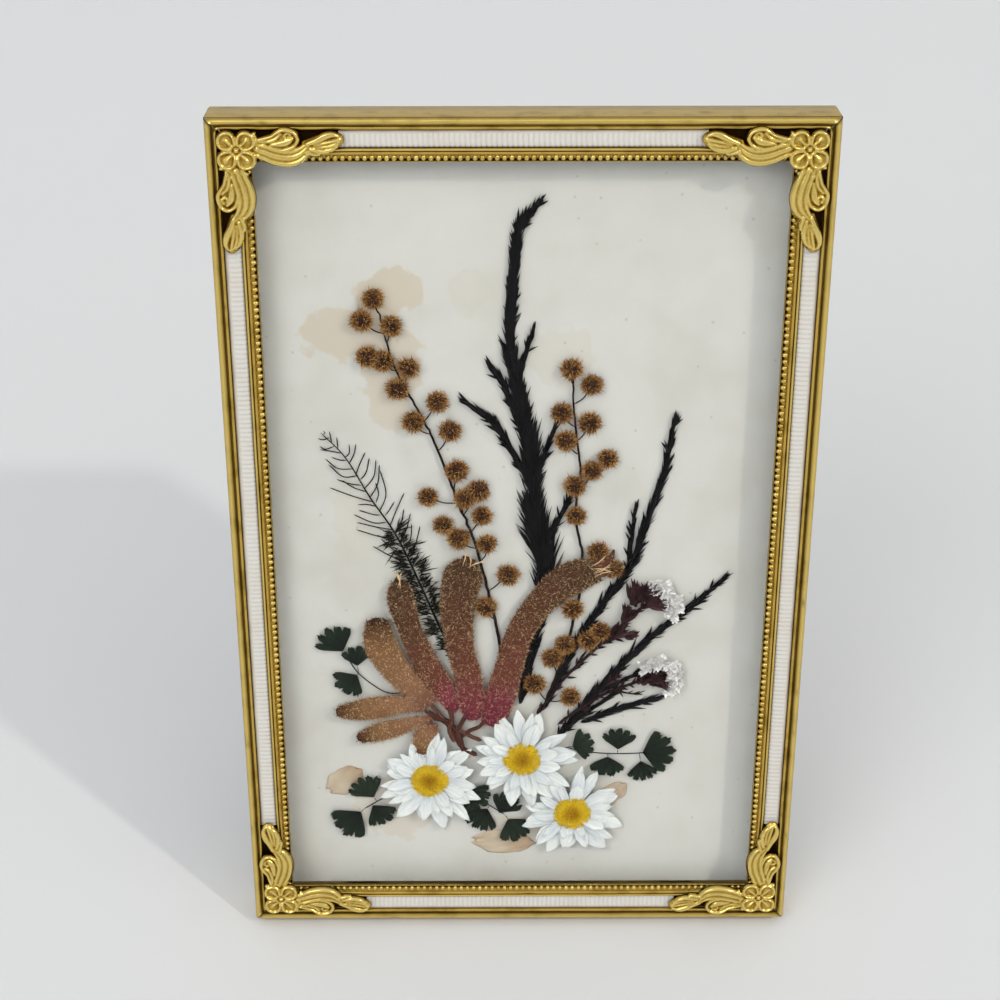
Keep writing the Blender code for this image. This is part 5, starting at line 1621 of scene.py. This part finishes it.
class FLOWERFRAME_OT_wattle(bpy.types.Operator):
    """Grow the two wattle sprigs"""

    bl_idname = "flowerframe.wattle"
    bl_label = "Wattle Sprigs"

    def execute(self, context):
        bouquet = context.scene.flower_bouquet
        # Dried wattle: balls of fine stamens, golden brown where they catch light and dark inside
        material = dried_plant(
            "dried_wattle_stamens",
            ((0.0, "#1E0E0A"), (0.35, "#482818"), (0.7, "#744824"), (1.0, "#8E6232")),
            "#F0BC6C", 0.85, 0.5, 0.85, 0.4,
        )  # fmt: skip
        for seed, (side, (stem, heads)) in enumerate(WATTLE.items(), 400):
            build = Build()
            rng = np.random.default_rng(seed)
            add_wattle(build, stem, heads, bouquet.head_radius, bouquet.stamens, rng)
            make_piece(f"dried_wattle_{side}", build, material, "wattle_head", f"wattle_sprig_{side}")
        return {"FINISHED"}


class FLOWERFRAME_OT_sprigs(bpy.types.Operator):
    """Grow the dark scale-leaf and needle sprigs and the heath"""

    bl_idname = "flowerframe.sprigs"
    bl_label = "Dark Sprigs and Heath"

    def execute(self, context):
        scales = context.scene.flower_bouquet.scales
        # Dyed and dried scale-leaf twigs: near black with a cold gloss along the leaves
        dark = dried_plant(
            "black_dyed_scale_leaf",
            ((0.0, "#060607"), (0.6, "#0B0A0C"), (1.0, "#121013")), "#221E22", 0.3, 0.8, 0.5, 0.4,
        )  # fmt: skip
        # Heath needles dried to a green black
        green = dried_plant(
            "dried_heath_needle", ((0.0, "#0B0B07"), (0.6, "#14150D"), (1.0, "#262214")), "#4A4428", 0.3, 0.8
        )
        for seed, (name, shoots) in enumerate(SCALE_SPRIGS.items(), 500):
            build = Build()
            add_scale_sprig(build, shoots, scales, np.random.default_rng(seed))
            sprig, node = f"dried_scale_sprig_{name}", f"scale_leaf_sprig_{name}"
            make_piece(sprig, build, dark, "dark_dyed_leaf", node)
        build = Build()
        add_scale_sprig(build, (NEEDLES,), scales * 0.6, np.random.default_rng(510))
        make_piece("dried_needle_sprig", build, dark, "dark_dyed_leaf", "needle_leaf_sprig")
        build = Build()
        add_heath(build, np.random.default_rng(511))
        make_piece("dried_heath_sprig", build, green, "heath_needle", "heath_sprig")
        return {"FINISHED"}


class FLOWERFRAME_OT_rice(bpy.types.Operator):
    """Grow the two rice flower heads"""

    bl_idname = "flowerframe.rice"
    bl_label = "Rice Flowers"

    def execute(self, context):
        # Rice flower: maroon bracts like small shingles, and white papery buds at the tip
        bracts = dried_plant(
            "dried_rice_flower_bract",
            ((0.0, "#1E1012"), (0.5, "#301A1C"), (1.0, "#44262A")), "#6E4A48", 0.4, 0.5, 0.7,
        )  # fmt: skip
        buds = dried_plant(
            "rice_flower_bud",
            ((0.0, "#E6E2DC"), (0.5, "#F4F2EF"), (1.0, "#FFFFFF")), "#FFFFFF", 0.4, 0.5, 0.6,
        )  # fmt: skip
        for seed, (name, (shoots, clumps, arc)) in enumerate(RICE.items(), 600):
            rng = np.random.default_rng(seed)
            build = Build()
            add_rice_flower(build, shoots, clumps, rng)
            make_piece(f"dried_rice_flower_{name}", build, bracts, "rice_flower", f"rice_flower_{name}")
            tuft = Build()
            add_rice_buds(tuft, arc, rng)
            make_piece(f"rice_flower_buds_{name}", tuft, buds, "rice_flower")
        return {"FINISHED"}


class FLOWERFRAME_OT_ferns(bpy.types.Operator):
    """Grow the four maidenhair fronds"""

    bl_idname = "flowerframe.ferns"
    bl_label = "Maidenhair Fronds"

    def execute(self, context):
        # Pressed maidenhair: thin dark green blades, nearly black, with a dull shine
        material = dried_plant(
            "pressed_maidenhair_blade",
            ((0.0, "#0A0D09"), (0.5, "#121A12"), (1.0, "#1B261A")), "#35412E", 0.35, 0.9, 0.55,
        )  # fmt: skip
        for seed, (name, (stem, leaflets)) in enumerate(FRONDS.items(), 700):
            build = Build()
            add_frond(build, stem, leaflets, np.random.default_rng(seed))
            frond, node = f"pressed_maidenhair_{name}", f"maidenhair_frond_{name}"
            make_piece(frond, build, material, "fern_leaf", node)
        return {"FINISHED"}


class FLOWERFRAME_OT_daisies(bpy.types.Operator):
    """Open the three paper daisies"""

    bl_idname = "flowerframe.daisies"
    bl_label = "Paper Daisies"

    def execute(self, context):
        bouquet = context.scene.flower_bouquet
        bract = paper_daisy_bract(context.scene.flower_colours)
        # The daisy's disc: pollen-yellow florets, dull orange and closed in the middle
        disc = dried_plant(
            "daisy_disc_florets",
            ((0.0, "#A8780E"), (0.35, "#C2980E"), (0.65, "#DEBE1C"), (1.0, "#D2B432")),
            "#FFE25A", 0.6, 0.5, 0.75, 0.5,
        )  # fmt: skip
        for seed, (name, (middle, reach, count, t, turn)) in enumerate(DAISIES.items(), 800):
            rng = np.random.default_rng(seed)
            build = Build()
            add_daisy(build, middle, reach, count, t, turn, rng)
            make_piece(f"paper_daisy_{name}_bracts", build, bract, "daisy_petal", f"daisy_{name}_petals")
            build = Build()
            add_daisy_disc(build, middle, bouquet.disc_radius, t - 0.35, bouquet.florets, rng)
            make_piece(f"paper_daisy_{name}_disc", build, disc, "daisy_centre", f"daisy_{name}_centre")
        return {"FINISHED"}


class FLOWERFRAME_OT_petals(bpy.types.Operator):
    """Lay the loose petals on the card"""

    bl_idname = "flowerframe.petals"
    bl_label = "Loose Petals"

    def execute(self, context):
        # Fallen petals, pressed thin and stained by their own sap
        material = dried_plant(
            "pressed_translucent_petal",
            ((0.0, "#C3AE94"), (0.5, "#CDBDA6"), (1.0, "#B79A7C")), "#E2D6C4", 0.5, 1.4, 0.6, alpha=0.8,
        )  # fmt: skip
        for seed, (name, (root, tip, width)) in enumerate(LOOSE_PETALS.items(), 900):
            build = Build()
            add_loose_petal(build, root, tip, width, np.random.default_rng(seed))
            make_piece(f"fallen_petal_{name}", build, material, "loose_petal", f"loose_petal_{name}")
        return {"FINISHED"}


def lay_floor(colour):
    """A round floor that sweeps up to a backdrop on every side."""
    # Matt painted board: even and pale, with a faint roller mottle
    material, tree, shader = new_material("matt_painted_board", roughness=0.85)
    mottle = noise(tree, object_place(tree), 9.0, 3.0)
    red, green, blue, _ = linear(colour)
    dull = (red * 0.98, green * 0.98, blue * 0.985, 1.0)
    finish(tree, shader, mix(tree, mottle, dull, colour), None, mottle, 0.02, 1.0)
    out, up = np.array(FLOOR_PROFILE).T
    turn = full_turn(72)
    rings = stacked(out[:, None] * np.cos(turn), out[:, None] * np.sin(turn), up[:, None]).reshape(-1, 3)
    mesh = bpy.data.meshes.new("floor")
    faces = grid_faces(len(out), len(turn), True)[:, ::-1].tolist() + [list(range(len(turn)))]
    mesh.from_pydata(rings.tolist(), [], faces)
    mesh.shade_smooth()
    mesh.materials.append(material)
    floor = bpy.data.objects.new("floor", mesh)
    bpy.context.scene.collection.objects.link(floor)


def hang_lights(stage):
    target = Vector((0.0, 0.0, 0.1))
    for name, way, distance, size, power, colour in (
        ("key", (0.613, -0.411, 0.677), 4.0, 0.16, stage.key_power, (1.0, 0.955, 0.85)),
        ("fill", (-0.45, -0.6, 0.66), 3.0, 1.8, stage.fill_power, (0.96, 0.98, 1.0)),
    ):
        light = bpy.data.lights.new(name, "AREA")
        light.shape, light.size, light.energy, light.color = "DISK", size, power, colour
        lamp = bpy.data.objects.new(name, light)
        lamp.location = target + Vector(way).normalized() * distance
        lamp.rotation_euler = Vector(way).to_track_quat("Z", "Y").to_euler()
        bpy.context.scene.collection.objects.link(lamp)


def light_room(strength):
    """A soft room: a bright ceiling over dim walls, and more light from the front than the back."""
    world = bpy.data.worlds.new("soft_room")
    bpy.context.scene.world = world
    world.use_nodes = True
    tree = world.node_tree
    way = add(tree, "ShaderNodeTexCoord").outputs["Generated"]
    forward, upward = (add(tree, "ShaderNodeSeparateXYZ", {0: way}).outputs[axis] for axis in "YZ")
    glow = ramp(tree, remap(tree, upward, -1.0, 1.0, 0.0, 1.0), *ROOM_GLOW)
    power = remap(tree, forward, -0.8, 0.8, strength * 1.42, strength * 0.6)
    tree.links.new(power, tree.nodes["Background"].inputs["Strength"])
    tree.links.new(glow, tree.nodes["Background"].inputs["Color"])


def set_camera(stage):
    data = bpy.data.cameras.new("camera")
    data.lens, data.sensor_width, data.clip_start = stage.lens, 36.0, 0.01
    camera = bpy.data.objects.new("camera", data)
    camera.location = stage.camera_place
    camera.rotation_euler = Vector(stage.camera_aim).to_track_quat("-Z", "Y").to_euler()
    bpy.context.scene.collection.objects.link(camera)
    bpy.context.scene.camera = camera


class FLOWERFRAME_OT_stage(bpy.types.Operator):
    """Set out the pale floor, the lights and the camera"""

    bl_idname = "flowerframe.stage"
    bl_label = "Stage"

    def execute(self, context):
        stage = context.scene.flower_stage
        lay_floor(stage.floor)
        hang_lights(stage)
        light_room(stage.sky)
        set_camera(stage)
        return {"FINISHED"}


class FLOWERFRAME_PT_sidebar(bpy.types.Panel):
    """Lists the frame's settings and its operators"""

    bl_idname = "FLOWERFRAME_PT_sidebar"
    bl_label = "Flower Frame"
    bl_space_type = "VIEW_3D"
    bl_region_type = "UI"
    bl_category = "Flower Frame"

    def draw(self, context):
        for operator in OPERATORS:
            self.layout.operator(operator.bl_idname)
        for name in GROUPS:
            settings = getattr(context.scene, name)
            box = self.layout.box()
            for key in settings.__annotations__:
                box.prop(settings, key)


GROUPS = {
    "flower_sizes": FlowerFrameSizes,
    "flower_colours": FlowerFrameColours,
    "flower_bouquet": FlowerFrameBouquet,
    "flower_stage": FlowerFrameStage,
}
OPERATORS = (
    FLOWERFRAME_OT_rails,
    FLOWERFRAME_OT_ornaments,
    FLOWERFRAME_OT_ribbons,
    FLOWERFRAME_OT_sheets,
    FLOWERFRAME_OT_paws,
    FLOWERFRAME_OT_wattle,
    FLOWERFRAME_OT_sprigs,
    FLOWERFRAME_OT_rice,
    FLOWERFRAME_OT_ferns,
    FLOWERFRAME_OT_daisies,
    FLOWERFRAME_OT_petals,
    FLOWERFRAME_OT_stage,
)
CLASSES = (*GROUPS.values(), *OPERATORS, FLOWERFRAME_PT_sidebar)


def register():
    for cls in CLASSES:
        bpy.utils.register_class(cls)
    for name, group in GROUPS.items():
        setattr(bpy.types.Scene, name, PointerProperty(type=group))


def unregister():
    for name in GROUPS:
        delattr(bpy.types.Scene, name)
    for cls in reversed(CLASSES):
        bpy.utils.unregister_class(cls)


def main():
    register()
    bpy.context.scene.view_settings.view_transform = "Standard"
    for operator in OPERATORS:
        group, name = operator.bl_idname.split(".")
        getattr(getattr(bpy.ops, group), name)()


if __name__ == "__main__":
    main()
